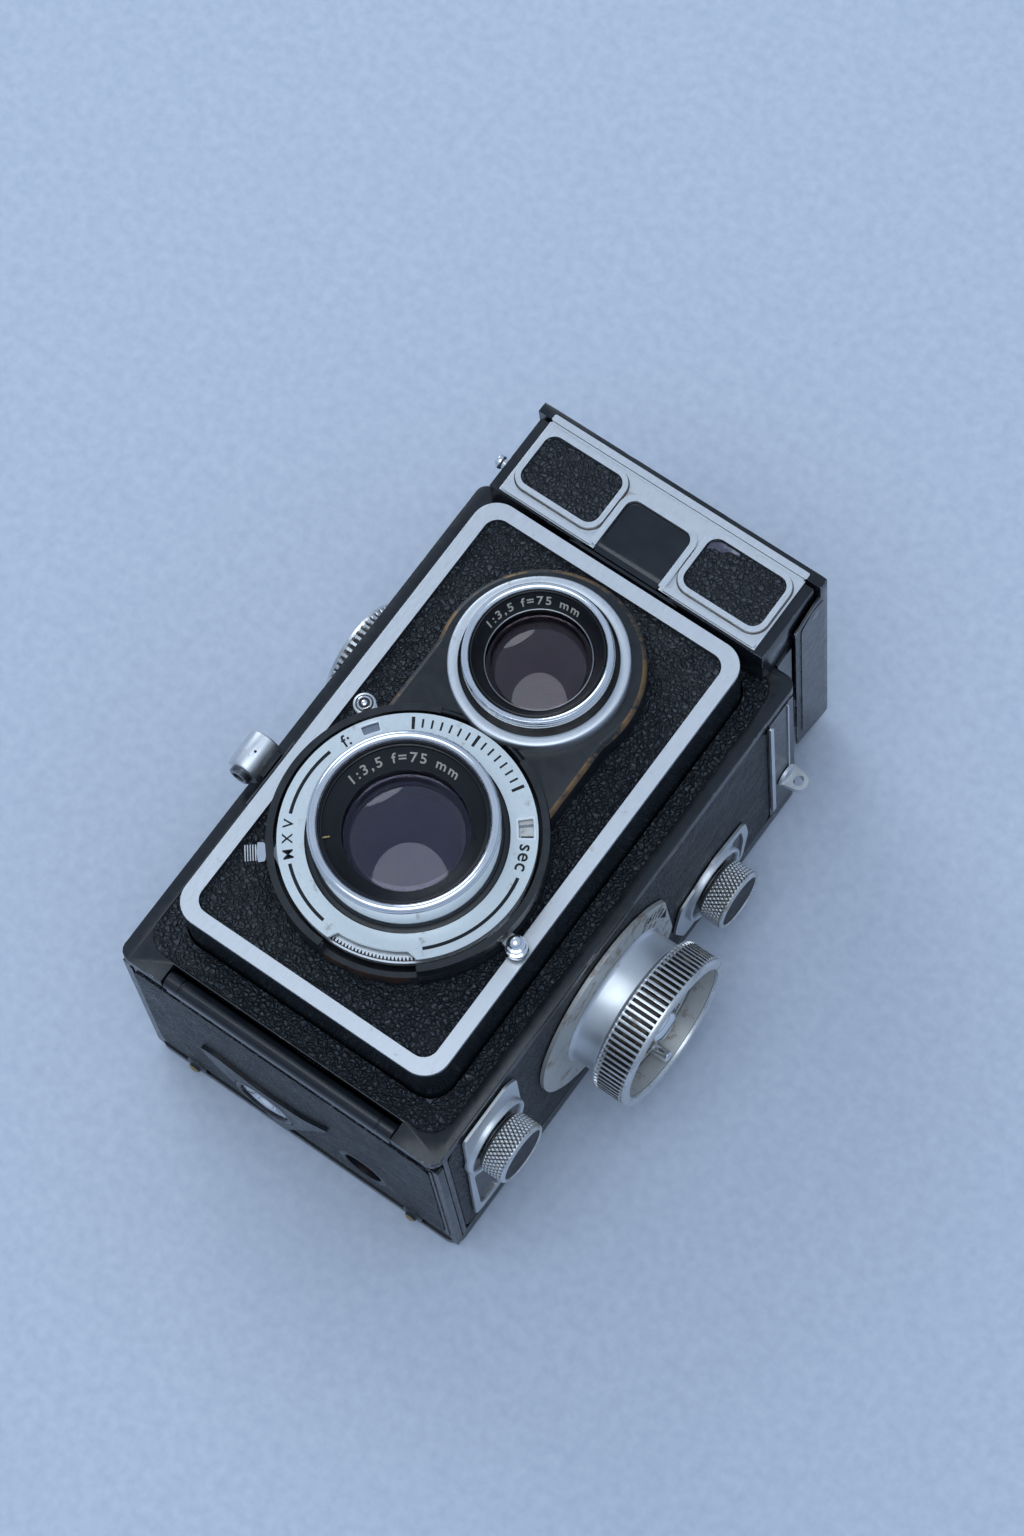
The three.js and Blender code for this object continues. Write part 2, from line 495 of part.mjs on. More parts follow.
// ---------- knobs and film transport ----------
function buildTransport() {
  const transport = group();
  const focusAt = [0, FOCUS.y, FOCUS.z];
  const knob = cut(
    slab(toothed(36, 17.6, 17, FOCUS.y, FOCUS.z), 47.2, 55.2, "yz"),
    rod(15, 49.5, 60, "x", focusAt, 26),
    rod(FOCUS.bore, 40, 60, "x", focusAt, 16),
  );
  addTo(transport, "focus_knob", knob, satin());
  const shaft = join(
    rod(6, 32.4, 34.4, "x", focusAt, 20),
    rod(FOCUS.shaft, 34.3, 49.3, "x", focusAt, 20),
  );
  addTo(transport, "focus_shaft", shaft, satin());
  addTo(transport, "reminder_disc", rod(14.2, 49.8, 50.6, "x", focusAt, 26), satin());

  for (const [name, spool] of [["lower", LOWER_SPOOL], ["upper", UPPER_SPOOL]]) {
    const at = [0, spool.y, spool.z];
    const sleeve = [[2.5, 33.6], [3.6, 33.6], [3.6, 40.9], [6, 40.9], [6, 41.2], [2.5, 41.2]];
    addTo(transport, name + "_knob_sleeve", turned(sleeve, "x", at, 20), satin());
    const head = slab(toothed(16, KNURL.r, KNURL.r - 0.3, spool.y, spool.z), KNURL.x0, KNURL.x1, "yz");
    const spindle = rod(2.2, SPOOL.half - 1.6, KNURL.x0 + 0.1, "x", at, 16);
    addTo(transport, name + "_knob", join(head, spindle), satin());
  }

  const windHead = slab(toothed(26, 12.5, 12, UPPER_SPOOL.y, UPPER_SPOOL.z), -51.4, -41.4, "yz");
  const windAt = [0, UPPER_SPOOL.y, UPPER_SPOOL.z];
  const windShaft = join(rod(2.5, -41.5, -32.5, "x", windAt, 16), rod(2.2, -32.6, -29.6, "x", windAt, 16));
  addTo(transport, "wind_knob", join(windHead, windShaft), satin());

  const { half, flange, core, hole, flangeThick } = SPOOL;
  const profile = [
    [hole, -half], [flange, -half], [flange, -half + flangeThick], [core, -half + flangeThick],
    [core, half - flangeThick], [flange, half - flangeThick], [flange, half], [hole, half],
  ];
  addTo(transport, "takeup_spool", turned(profile, "x", windAt, 24), black());
  const supplyAt = [0, LOWER_SPOOL.y, LOWER_SPOOL.z];
  addTo(transport, "supply_spool", turned(profile, "x", supplyAt, 24), black());
  for (const { name, y, z, r } of ROLLERS) {
    const at = [0, y, z];
    const roller = join(rod(0.7, -37.4, 37.4, "x", at, 8), rod(r, -36.1, 36.1, "x", at, 16));
    addTo(transport, name, roller, chrome());
  }
}

// ---------- back door ----------
const TRIPOD = { x: -8, z: 17.1, r: 5.8 };
const WINDOW = { x: 16.5, z: 15.2, r: 4.6 };

function buildDoor() {
  const door = group();
  const lip = -TOP + WALL - GAP;
  const backPlate = slab(roundedRect(-HALF, HALF, -TOP, TOP, 2.4), 0, DOOR);
  const bottom = box(-HALF, HALF, -TOP, lip, DOOR - 0.1, 54.4);
  const leaf = box(-HINGE.half + 0.5, HINGE.half - 0.5, -TOP + 0.1, -60.6, 54.3, HINGE.z);
  const tube = rod(HINGE.tube, -HINGE.half, HINGE.half, "x", [0, HINGE.y, HINGE.z], 16);
  const pinBore = rod(HINGE.pin + 0.2, -40, 40, "x", [0, HINGE.y, HINGE.z], 8);
  const tripodHole = rod(TRIPOD.r + GAP, -70, -50, "y", [TRIPOD.x, 0, TRIPOD.z], 20);
  const windowHole = rod(WINDOW.r, -70, -50, "y", [WINDOW.x, 0, WINDOW.z], 20);
  const windowSeat = rod(WINDOW.r + 1.2, -TOP + 1.1, -50, "y", [WINDOW.x, 0, WINDOW.z], 20);
  const feet = [-28, 28].map((x) => rod(2.6, -TOP - 1.5, -TOP + 0.2, "y", [x, 0, 4.4], 16));
  const atStuds = (r, low, high) =>
    [-20, 20].flatMap((x) => [-34, 6].map((y) => rod(r, low, high, "z", [x, y, 0], 8)));
  const studs = atStuds(1.2, DOOR - 0.1, 3.6);
  const solidDoor = join(backPlate, bottom, leaf, tube, ...feet, ...studs);
  addTo(door, "back_door", cut(solidDoor, pinBore, tripodHole, windowHole, windowSeat), enamel());

  const socketAt = [TRIPOD.x, 0, TRIPOD.z];
  const socket = cut(
    rod(TRIPOD.r, -TOP + 0.6, lip - 0.1, "y", socketAt, 20),
    rod(3, -TOP, -TOP + 1.8, "y", socketAt, 16),
  );
  addTo(door, "tripod_socket", socket, chrome());
  const pane = rod(WINDOW.r + 0.9, -TOP + 1.2, -TOP + 2, "y", [WINDOW.x, 0, WINDOW.z], 20);
  addTo(door, "red_window", pane, glass(0x8a1010));
  const pressure = cut(slab(roundedRect(-30, 30, -43.6, 14.6, 3), 3.2, 4.4), ...atStuds(1.6, 0, 10));
  addTo(door, "pressure_plate", pressure, black());
  const catchBar = box(-7, 7, TOP + 0.1, TOP + 1, 0.3, 2.9);
  const catchTab = box(-2, 2, TOP + 0.9, TOP + 2.1, 0.4, 2.8);
  addTo(door, "door_catch", join(catchBar, catchTab), chrome());
}

buildBody();
buildHood();
buildStandard();
buildTransport();
buildDoor();

export default camera;
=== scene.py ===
"""Twin lens reflex camera: detailed pieces, finishes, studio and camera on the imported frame.

Lengths below are in millimetres and are scaled to metres as each mesh is made.
The two lens axes point along +Z, the hood is towards +Y and the focusing knob towards +X.
"""
import math

import bmesh
import bpy
from mathutils import Matrix, Vector
from mathutils.geometry import tessellate_polygon


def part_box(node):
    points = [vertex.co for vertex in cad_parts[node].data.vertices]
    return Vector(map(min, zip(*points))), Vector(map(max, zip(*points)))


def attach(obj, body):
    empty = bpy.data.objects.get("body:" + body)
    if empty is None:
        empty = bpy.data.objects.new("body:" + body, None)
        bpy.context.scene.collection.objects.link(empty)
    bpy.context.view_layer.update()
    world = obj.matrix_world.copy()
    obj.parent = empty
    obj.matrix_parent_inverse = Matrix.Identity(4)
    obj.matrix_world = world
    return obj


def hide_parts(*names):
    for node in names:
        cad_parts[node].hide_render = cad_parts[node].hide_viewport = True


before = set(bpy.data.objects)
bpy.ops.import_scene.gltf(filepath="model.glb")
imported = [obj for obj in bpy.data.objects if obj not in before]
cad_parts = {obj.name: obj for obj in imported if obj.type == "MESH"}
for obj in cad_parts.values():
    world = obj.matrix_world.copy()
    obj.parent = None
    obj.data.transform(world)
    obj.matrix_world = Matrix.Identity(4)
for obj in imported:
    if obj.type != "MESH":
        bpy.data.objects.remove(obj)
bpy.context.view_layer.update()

MM = 0.001
TAU = 2 * math.pi
scene = bpy.context.scene


def span(node):
    """The six sides of a CAD node in millimetres: x0, y0, z0, x1, y1, z1."""
    low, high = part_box(node)
    return [v / MM for v in low] + [v / MM for v in high]


# ---------- places read from the frame ----------
def axis_of(node, first, second):
    box = span(node)
    return (box[first] + box[first + 3]) / 2, (box[second] + box[second + 3]) / 2


VIEW = axis_of("viewing_bezel", 0, 1)
TAKE = axis_of("taking_bezel", 0, 1)
FOCUS = axis_of("focus_shaft", 1, 2)
LOWER = axis_of("lower_knob_sleeve", 1, 2)
UPPER = axis_of("upper_knob_sleeve", 1, 2)
RELEASE = (span("shutter_release")[0] + 3.7, span("shutter_release")[2] + 3.7)
COCKING_AT, SYNC_AT, APERTURE_AT = 143, 218.5, -10  # where each lever stands round the shutter, in degrees
BODY = span("body_shell")
HALF = BODY[3]
TOP = BODY[4]
TRIM = span("frame_trim")
PLATE = span("lens_plate")
HOUSING = span("shutter_housing")
FACE = span("shutter_faceplate")
DOOR = span("back_door")


# ---------- node materials ----------
class Shader:
    """Builds one node material; sockets pass between its methods as plain values do."""

    def __init__(self, name):
        self.material = bpy.data.materials.new(name)
        self.material.use_nodes = True
        self.tree = self.material.node_tree
        self.surface = self.tree.nodes["Principled BSDF"]
        self.place = self.node("ShaderNodeTexCoord", {}, "Object")
        self.height = None

    def set(self, socket, value):
        """Links a socket, or sets a number, a vector or a colour."""
        if isinstance(value, bpy.types.NodeSocket):
            self.tree.links.new(value, socket)
        elif isinstance(value, tuple) and socket.type == "RGBA":
            socket.default_value = (*value, 1)
        else:
            socket.default_value = value

    def node(self, kind, inputs, output=0, **settings):
        made = self.tree.nodes.new(kind)
        for key, value in settings.items():
            setattr(made, key, value)
        for key, value in inputs.items():
            self.set(made.inputs[key], value)
        return made.outputs[output]

    def noise(self, size, detail=3.0, roughness=0.55, stretch=None):
        """Soft noise with features about that many millimetres across."""
        place = self.node("ShaderNodeMapping", {"Vector": self.place, "Scale": stretch}) if stretch else self.place
        return self.node("ShaderNodeTexNoise", {
            "Scale": 1 / (size * MM), "Detail": detail, "Roughness": roughness, "Vector": place}, "Fac")

    def cells(self, size, feature, warp):
        """Cells about that many millimetres across, with their walls bent by the warp."""
        drift = self.node("ShaderNodeTexNoise", {"Scale": 0.6 / (size * MM), "Vector": self.place}, "Color")
        bent = self.node("ShaderNodeMix", {0: warp * size * MM, 6: self.place, 7: drift}, 2,
                         data_type="RGBA", blend_type="LINEAR_LIGHT")
        return self.node("ShaderNodeTexVoronoi", {"Scale": 1 / (size * MM), "Vector": bent}, "Distance",
                         feature=feature)

    def ramp(self, source, low, high, bottom=0.0, top=1.0):
        """Maps low..high of a pattern to bottom..top."""
        return self.node("ShaderNodeMapRange", {
            "Value": source, "From Min": low, "From Max": high, "To Min": bottom, "To Max": top})

    def combine(self, operation, first, second):
        return self.node("ShaderNodeMath", {0: first, 1: second}, operation=operation)

    def blend(self, fac, first, second):
        """Colour that goes from first to second; each is a colour or a socket."""
        return self.node("ShaderNodeMix", {0: fac, 6: first, 7: second}, 2, data_type="RGBA")

    def bump(self, height, distance, strength=1.0):
        inputs = {"Strength": strength, "Distance": distance * MM, "Height": height}
        if self.height is not None:
            inputs["Normal"] = self.height
        self.height = self.node("ShaderNodeBump", inputs)
        self.put(Normal=self.height)

    def put(self, **values):
        for key, value in values.items():
            self.set(self.surface.inputs[key.replace("_", " ")], value)


def leather():
    s = Shader("leather")
    pebbles = s.cells(0.95, "SMOOTH_F1", 0.8)
    creases = s.cells(1.05, "DISTANCE_TO_EDGE", 1.0)
    flat_tops = s.ramp(creases, 0.0, 0.3)
    grain = s.combine("SUBTRACT", flat_tops, s.combine("MULTIPLY", pebbles, 1.1))
    rubbed = s.ramp(s.noise(16, 4), 0.42, 0.72)
    top = s.blend(rubbed, (0.029, 0.037, 0.046), (0.046, 0.055, 0.063))
    # The grain's crevices are painted near black as shade and its pebble tops lighter as a painted sheen; the rubbed
    # noise is random wear.
    base = s.blend(s.ramp(grain, -0.3, 0.5), (0.005, 0.007, 0.010), top)
    s.put(Base_Color=base, Roughness=s.ramp(s.noise(5), 0.3, 0.7, 0.36, 0.52))
    s.bump(grain, 0.45, 1.0)
    s.bump(s.noise(0.25, 2), 0.04, 0.5)
    return s.material


def enamel(name="enamel", gloss=0.16, worn=None, tone=1.0):
    """Black enamel; worn is a colour and the two pattern levels between which it is rubbed through to that metal."""
    s = Shader(name)
    dark, light = [tuple(c * tone for c in colour) for colour in ((0.006, 0.008, 0.011), (0.014, 0.018, 0.023))]
    colour = s.blend(s.ramp(s.noise(9, 5), 0.35, 0.75), dark, light)
    rough = s.ramp(s.noise(2.2, 5), 0.3, 0.75, gloss, gloss + 0.16)
    if worn:
        bare, low, high = worn
        pattern = s.combine("ADD", s.noise(5.5, 5), s.combine("MULTIPLY", s.noise(0.7, 3), 0.35))
        rubbed = s.ramp(pattern, low, high)
        colour = s.blend(rubbed, colour, bare)
        s.put(Metallic=s.combine("MULTIPLY", rubbed, 0.9))
        rough = s.combine("ADD", rough, s.combine("MULTIPLY", rubbed, 0.18))
    s.put(Base_Color=colour, Roughness=rough)
    s.bump(s.noise(1.6, 3), 0.012, 0.5)
    return s.material


def metal(name, colour, dull, gloss, size=0.35, stretch=None, dirt=(0.30, 0.25, 0.19), soiled=0.70,
          metallic=0.95, grain=0.0):
    """Bare metal with uneven gloss and a little brown dirt; stretch and grain give it a brushed direction."""
    s = Shader(name)
    pattern = s.combine("ADD", s.noise(3.5, 6), s.combine("MULTIPLY", s.noise(0.5, 3), 0.25))
    stain = s.ramp(pattern, soiled, soiled + 0.22)
    fine = s.noise(size, 4, 0.6, stretch)
    base = s.blend(s.ramp(fine, 0.3, 0.7), dull, colour)
    s.put(Base_Color=s.blend(stain, base, dirt))
    s.put(Metallic=s.ramp(stain, 0, 1, metallic, 0.35))
    s.put(Roughness=s.combine("ADD", s.ramp(fine, 0.3, 0.7, gloss, gloss + 0.12), s.combine("MULTIPLY", stain, 0.3)))
    if grain:
        s.bump(fine, grain, 0.4)
    return s.material


def coated_glass(name, tint, coating, clear=1.0):
    """Clear glass, or with clear at 0 a deep element seen only by its colour and reflections."""
    s = Shader(name)
    hazy = tuple(min(1, c * 1.2 + 0.004) for c in tint)
    s.put(Base_Color=s.blend(s.ramp(s.noise(4, 5), 0.35, 0.8), tint, hazy))
    s.put(Roughness=s.ramp(s.noise(2.5, 4), 0.4, 0.85, 0.0, 0.02))
    s.put(Transmission_Weight=clear, IOR=1.3, Specular_IOR_Level=0.05 + 0.1 * clear, Specular_Tint=coating)
    s.put(Coat_Weight=0.6 * clear, Coat_Roughness=0.0, Coat_IOR=1.62, Coat_Tint=coating)
    return s.material


def ink(name, colour):
    s = Shader(name)
    s.put(Specular_IOR_Level=0.08)
    s.put(Base_Color=s.blend(s.noise(0.6, 4), colour, tuple(c * 0.6 for c in colour)))
    s.put(Roughness=s.ramp(s.noise(0.4), 0.3, 0.7, 0.45, 0.65))
    return s.material


BRIGHT = (0.62, 0.63, 0.64)
BROWN = (0.14, 0.075, 0.042)
M = {
    "leather": leather(),
    "enamel": enamel(),
    "edge": enamel("enamel_edge", 0.2, (BRIGHT, 0.74, 0.84)),
    "brass_edge": enamel("enamel_brass_edge", 0.25, ((0.26, 0.16, 0.08), 0.62, 0.80)),
    "worn": enamel("enamel_worn", 0.36, (BROWN, 0.58, 0.80)),
    "satin_enamel": enamel("enamel_satin", 0.24, tone=0.9),
    "inside": enamel("blackened_inside", 0.55, tone=0.7),
    "frame": metal("frame_metal", (0.69, 0.71, 0.73), (0.62, 0.64, 0.66), 0.32, 0.16, (1, 0.06, 1), soiled=0.78,
                   grain=0.004),
    "satin": metal("satin_metal", (0.70, 0.72, 0.74), (0.64, 0.66, 0.68), 0.34, 4.0, soiled=0.80),
    "turned": metal("turned_metal", (0.80, 0.82, 0.84), (0.74, 0.76, 0.78), 0.30, 4.0, soiled=0.80),
    "cream": metal("silvered_plate", (0.62, 0.62, 0.59), (0.54, 0.54, 0.51), 0.40, 0.4,
                   dirt=(0.22, 0.13, 0.07), soiled=0.66, metallic=0.6),
    "face": metal("faceplate_metal", (0.66, 0.71, 0.72), (0.60, 0.65, 0.66), 0.38, 0.5,
                  dirt=(0.26, 0.24, 0.20), soiled=0.74, metallic=0.6),
    "chrome": metal("chrome", (0.86, 0.87, 0.89), (0.78, 0.80, 0.82), 0.08, 5.0, soiled=0.86, metallic=1.0),
    "steel": metal("steel", (0.30, 0.31, 0.32), (0.20, 0.21, 0.22), 0.25, 0.25),
    "brass": metal("brass", (0.50, 0.35, 0.15), (0.30, 0.20, 0.09), 0.30, 0.4),
    "knurl": metal("knurled_metal", (0.70, 0.71, 0.71), (0.58, 0.59, 0.59), 0.24, 0.25, soiled=0.70),
    # Painted shade: a near-black metal for groove floors, gaps, necks and cores, with a little brown dirt.
    "painted_shade": metal("groove_dirt_and_painted_shade", (0.045, 0.040, 0.036), (0.022, 0.020, 0.020), 0.45, 0.3, metallic=0.3),
    # Painted shade: a dark metal for the film disc, the wing recess floors and the strips beside the hood rims, with
    # brown dirt.
    "dish": metal("dish_dirt_and_painted_shade", (0.20, 0.19, 0.175), (0.075, 0.068, 0.06), 0.26, 1.6,
                  dirt=(0.09, 0.055, 0.03), soiled=0.62, metallic=0.85),
    # Painted shade: the aperture scale under the faceplate is coloured dark and bluish.
    "scale_painted_shade": metal("scale_in_shade", (0.26, 0.30, 0.36), (0.20, 0.23, 0.28), 0.3, 0.5, metallic=0.5),
    "anodised": enamel("black_anodised", 0.26, tone=0.5),
    "badge": enamel("badge_gloss", 0.02, tone=1.2),
    "knob_end": enamel("knob_end_black", 0.5, tone=0.9),
    "spool": enamel("spool_black", 0.4, tone=0.9),
    "taking_front": coated_glass("taking_front_glass", (0.86, 0.82, 0.90), (0.93, 0.90, 1.0)),
    "taking_inner": coated_glass("taking_inner_glass", (0.008, 0.004, 0.014), (0.5, 0.4, 0.8), 0),
    "viewing_front": coated_glass("viewing_front_glass", (0.78, 0.72, 0.74), (0.96, 0.88, 0.92)),
    "viewing_inner": coated_glass("viewing_inner_glass", (0.018, 0.009, 0.013), (0.8, 0.6, 0.7), 0),
    "clear_glass": coated_glass("clear_glass", (0.93, 0.96, 0.96), (0.9, 0.95, 1.0)),
    "ground_glass": coated_glass("ground_glass", (0.55, 0.58, 0.60), (0.9, 0.95, 1.0), 0.35),
    "red_glass": coated_glass("red_glass", (0.10, 0.004, 0.006), (1.0, 0.7, 0.7), 0.2),
    "mirror": metal("mirror_silver", (0.92, 0.93, 0.94), (0.88, 0.89, 0.90), 0.01, 3.0, soiled=0.9, metallic=1.0),
    "torn": metal("torn_leather", (0.10, 0.09, 0.14), (0.035, 0.03, 0.055), 0.4, 0.5, dirt=(0.35, 0.38, 0.42),
                  soiled=0.6, metallic=0.0),
    "black_ink": ink("engraving_black", (0.03, 0.032, 0.036)),
    "pale_ink": ink("engraving_pale", (0.62, 0.60, 0.52)),
}


def hand(x):
    return "left" if x < 0 else "right"


# ---------- outlines in a plane ----------
def polar(centre, r, angle):
    """The point at that distance from the centre, at an angle in degrees."""
    turn = math.radians(angle)
    return centre[0] + r * math.cos(turn), centre[1] + r * math.sin(turn)


def arc(centre, r, start, end, steps):
    """Points on a circle from one angle to another, in degrees."""
    return [polar(centre, r, start + (end - start) * i / steps) for i in range(steps + 1)]


def circle(centre, r, steps=96):
    return arc(centre, r, 0, 360, steps)[:-1]


def rounded(x0, x1, y0, y1, r, steps=10):
    corners = (((x1 - r, y1 - r), 0), ((x0 + r, y1 - r), 90), ((x0 + r, y0 + r), 180), ((x1 - r, y0 + r), 270))
    return [p for centre, turn in corners for p in arc(centre, r, turn, turn + 90, steps)]


def inset(box, margin, r, steps=10):
    """A box x0, y0, x1, y1 drawn in by a margin, with rounded corners."""
    x0, y0, x1, y1 = box
    return rounded(x0 + margin, x1 - margin, y0 + margin, y1 - margin, r, steps)


def raised(base, *points):
    """Points whose second number counts from the base."""
    return [(u, base + v) for u, v in points]


def sector(centre, inner, outer, start, end, steps=48):
    return arc(centre, outer, start, end, steps) + arc(centre, inner, end, start, steps)


def softened(points, r, steps=5):
    """A polygon with each corner rounded to about that radius."""
    out = []
    for i, corner in enumerate(points):
        here = Vector(corner)
        before, after = Vector(points[i - 1]) - here, Vector(points[(i + 1) % len(points)]) - here
        reach = min(r, before.length * 0.45, after.length * 0.45)
        a, b = here + before.normalized() * reach, here + after.normalized() * reach
        for k in range(steps + 1):
            t = k / steps
            out.append(tuple(a * (1 - t) ** 2 + here * 2 * t * (1 - t) + b * t ** 2))
    return out


def toothed(centre, outer, inner, teeth, width=0.5):
    shape = ((0, inner), (0.5 - width / 2, inner), (0.5, outer), (0.5 + width / 2, outer))
    return [polar(centre, r, 360 * (i + share) / teeth) for i in range(teeth) for share, r in shape]


# ---------- meshes ----------
PLANES = {"xy": lambda u, v, w: (u, v, w), "yz": lambda u, v, w: (w, u, v), "xz": lambda u, v, w: (u, w, v)}


def mesh_of(verts, faces):
    mesh = bpy.data.meshes.new("mesh")
    mesh.from_pydata([Vector(v) * MM for v in verts], [], faces)
    bm = bmesh.new()
    bm.from_mesh(mesh)
    bmesh.ops.recalc_face_normals(bm, faces=bm.faces)
    bm.to_mesh(mesh)
    bm.free()
    return mesh


def stacked(layers, plane="xy"):
    """A solid through layers of (loops, level): each layer has a closed outline, with any holes after it."""
    verts, faces, put = [], [], PLANES[plane]
    for loops, level in layers:
        verts += [put(u, v, level) for loop in loops for u, v in loop]
    count = sum(map(len, layers[0][0]))
    for end in (0, len(layers) - 1):
        caps = tessellate_polygon([[Vector((u, v, 0)) for u, v in loop] for loop in layers[end][0]])
        faces += [tuple(end * count + i for i in face) for face in caps]
    for below in range(0, count * (len(layers) - 1), count):
        start = below
        for loop in layers[0][0]:
            for i in range(len(loop)):
                a, b = start + i, start + (i + 1) % len(loop)
                faces.append((a, b, b + count, a + count))
            start += len(loop)
    return mesh_of(verts, faces)


def prism(loops, low, high, plane="xy"):
    """A closed outline, with any holes after it, given thickness along the plane's normal."""
    return stacked([(loops, low), (loops, high)], plane)


def lathe(profile, axis, centre, steps=96, relief=None):
    """A profile of (radius, place) points turned about an axis; relief(angle, place, radius) adds to the radius."""
    verts, rings = [], []
    for r, along in profile:
        ring = []
        for i in range(steps if r > 0 else 1):
            a = TAU * i / steps
            reach = r + (relief(a, along, r) if relief and r > 0 else 0)
            u, v = centre[0] + reach * math.cos(a), centre[1] + reach * math.sin(a)
            ring.append(len(verts))
            verts.append(PLANES[{"z": "xy", "x": "yz", "y": "xz"}[axis]](u, v, along))
        rings.append(ring)
    if profile[0][0] > 0:
        rings.append(rings[0])
    faces = []
    for a, b in zip(rings, rings[1:]):
        for i in range(steps):
            j = (i + 1) % steps
            if len(a) == 1 and len(b) == 1:
                continue
            if len(a) == 1:
                faces.append((a[0], b[i], b[j]))
            elif len(b) == 1:
                faces.append((a[i], a[j], b[0]))
            else:
                faces.append((a[i], a[j], b[j], b[i]))
    return mesh_of(verts, faces)


def carved(mesh, *cutters):
    """The mesh with the cutters' solids taken away."""
    base = bpy.data.objects.new("base", mesh)
    scene.collection.objects.link(base)
    tools = []
    for cutter in cutters:
        tool = bpy.data.objects.new("tool", cutter)
        scene.collection.objects.link(tool)
        cut = base.modifiers.new("cut", "BOOLEAN")
        cut.operation, cut.solver, cut.object = "DIFFERENCE", "EXACT", tool
        tools.append(tool)
    bpy.context.view_layer.update()
    made = bpy.data.meshes.new_from_object(base.evaluated_get(bpy.context.evaluated_depsgraph_get()))
    for used in (base, *tools):
        bpy.data.objects.remove(used)
    return made


def soften_edges(obj, bevel, segments, edge):
    cut = obj.modifiers.new("bevel", "BEVEL")
    cut.width, cut.segments, cut.limit_method = bevel * MM, segments, "ANGLE"
    cut.angle_limit, cut.harden_normals, cut.use_clamp_overlap = math.radians(38), True, True
    cut.miter_outer = "MITER_ARC"
    if edge:
        obj.data.materials.append(M[edge])
        cut.material = len(obj.data.materials) - 1


def piece(name, mesh, body, finish, stands_for=(), bevel=0.0, segments=3, edge=None):
    """Adds a mesh to the object: it rides on a body and may stand for CAD nodes."""
    mesh.name = name
    obj = bpy.data.objects.new(name, mesh)
    scene.collection.objects.link(obj)
    mesh.materials.clear()
    mesh.materials.append(M[finish])
    mesh.polygons.foreach_set("use_smooth", [True] * len(mesh.polygons))
    if bevel:
        soften_edges(obj, bevel, segments, edge)
    else:
        mesh.set_sharp_from_angle(angle=math.radians(38))
    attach(obj, body)
    if stands_for:
        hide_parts(*stands_for)
    return obj


def shade_below(obj, axis, centre, limit, finish, reach=(-1e3, 1e3)):
    """Gives the faces that lie nearer a piece's axis than the limit another finish: painted shade on groove floors
    and necks, and bare brass on the worn tips of the feet.
    """
    first, second = {"x": (1, 2), "y": (0, 2), "z": (0, 1)}[axis]
    along = {"x": 0, "y": 1, "z": 2}[axis]
    obj.data.materials.append(M[finish])
    for face in obj.data.polygons:
        at = face.center / MM
        if reach[0] < at[along] < reach[1] and math.hypot(at[first] - centre[0], at[second] - centre[1]) < limit:
            face.material_index = 1


def dress(node, finish, bevel=0.0, segments=2, edge=None):
    """Gives a CAD node that stays its finish, and softens its edges."""
    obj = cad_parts[node]
    obj.data.materials.clear()
    obj.data.materials.append(M[finish])
    obj.data.polygons.foreach_set("use_smooth", [True] * len(obj.data.polygons))
    weld = obj.modifiers.new("weld", "WELD")
    weld.merge_threshold = 1e-6
    if bevel:
        soften_edges(obj, bevel, segments, edge)


def lettering(name, text, size, body, finish, centre, r, middle, level, slope=0.0,
              plane="xy", spacing=1.0):
    """Raised characters along an arc: r and level place the baseline's middle, and slope tilts it up a cone."""
    font = bpy.data.curves.new(name, "FONT")
    font.body, font.size, font.align_x, font.align_y = text, size, "CENTER", "CENTER"
    font.extrude, font.space_character, font.resolution_u, font.offset = 0.03, spacing, 3, 0.012 * size
    holder = bpy.data.objects.new("holder", font)
    scene.collection.objects.link(holder)
    bpy.context.view_layer.update()
    mesh = bpy.data.meshes.new_from_object(holder.evaluated_get(bpy.context.evaluated_depsgraph_get()))
    bpy.data.objects.remove(holder)
    tilt = math.radians(slope)
    for vert in mesh.vertices:
        x, y, out = vert.co
        a = math.radians(middle) - x / r
        reach = r + y * math.cos(tilt) - out * math.sin(tilt)
        vert.co = Vector(PLANES[plane](
            centre[0] + reach * math.cos(a),
            centre[1] + reach * math.sin(a),
            level + y * math.sin(tilt) + out * math.cos(tilt))) * MM
    return piece(name, mesh, body, finish)


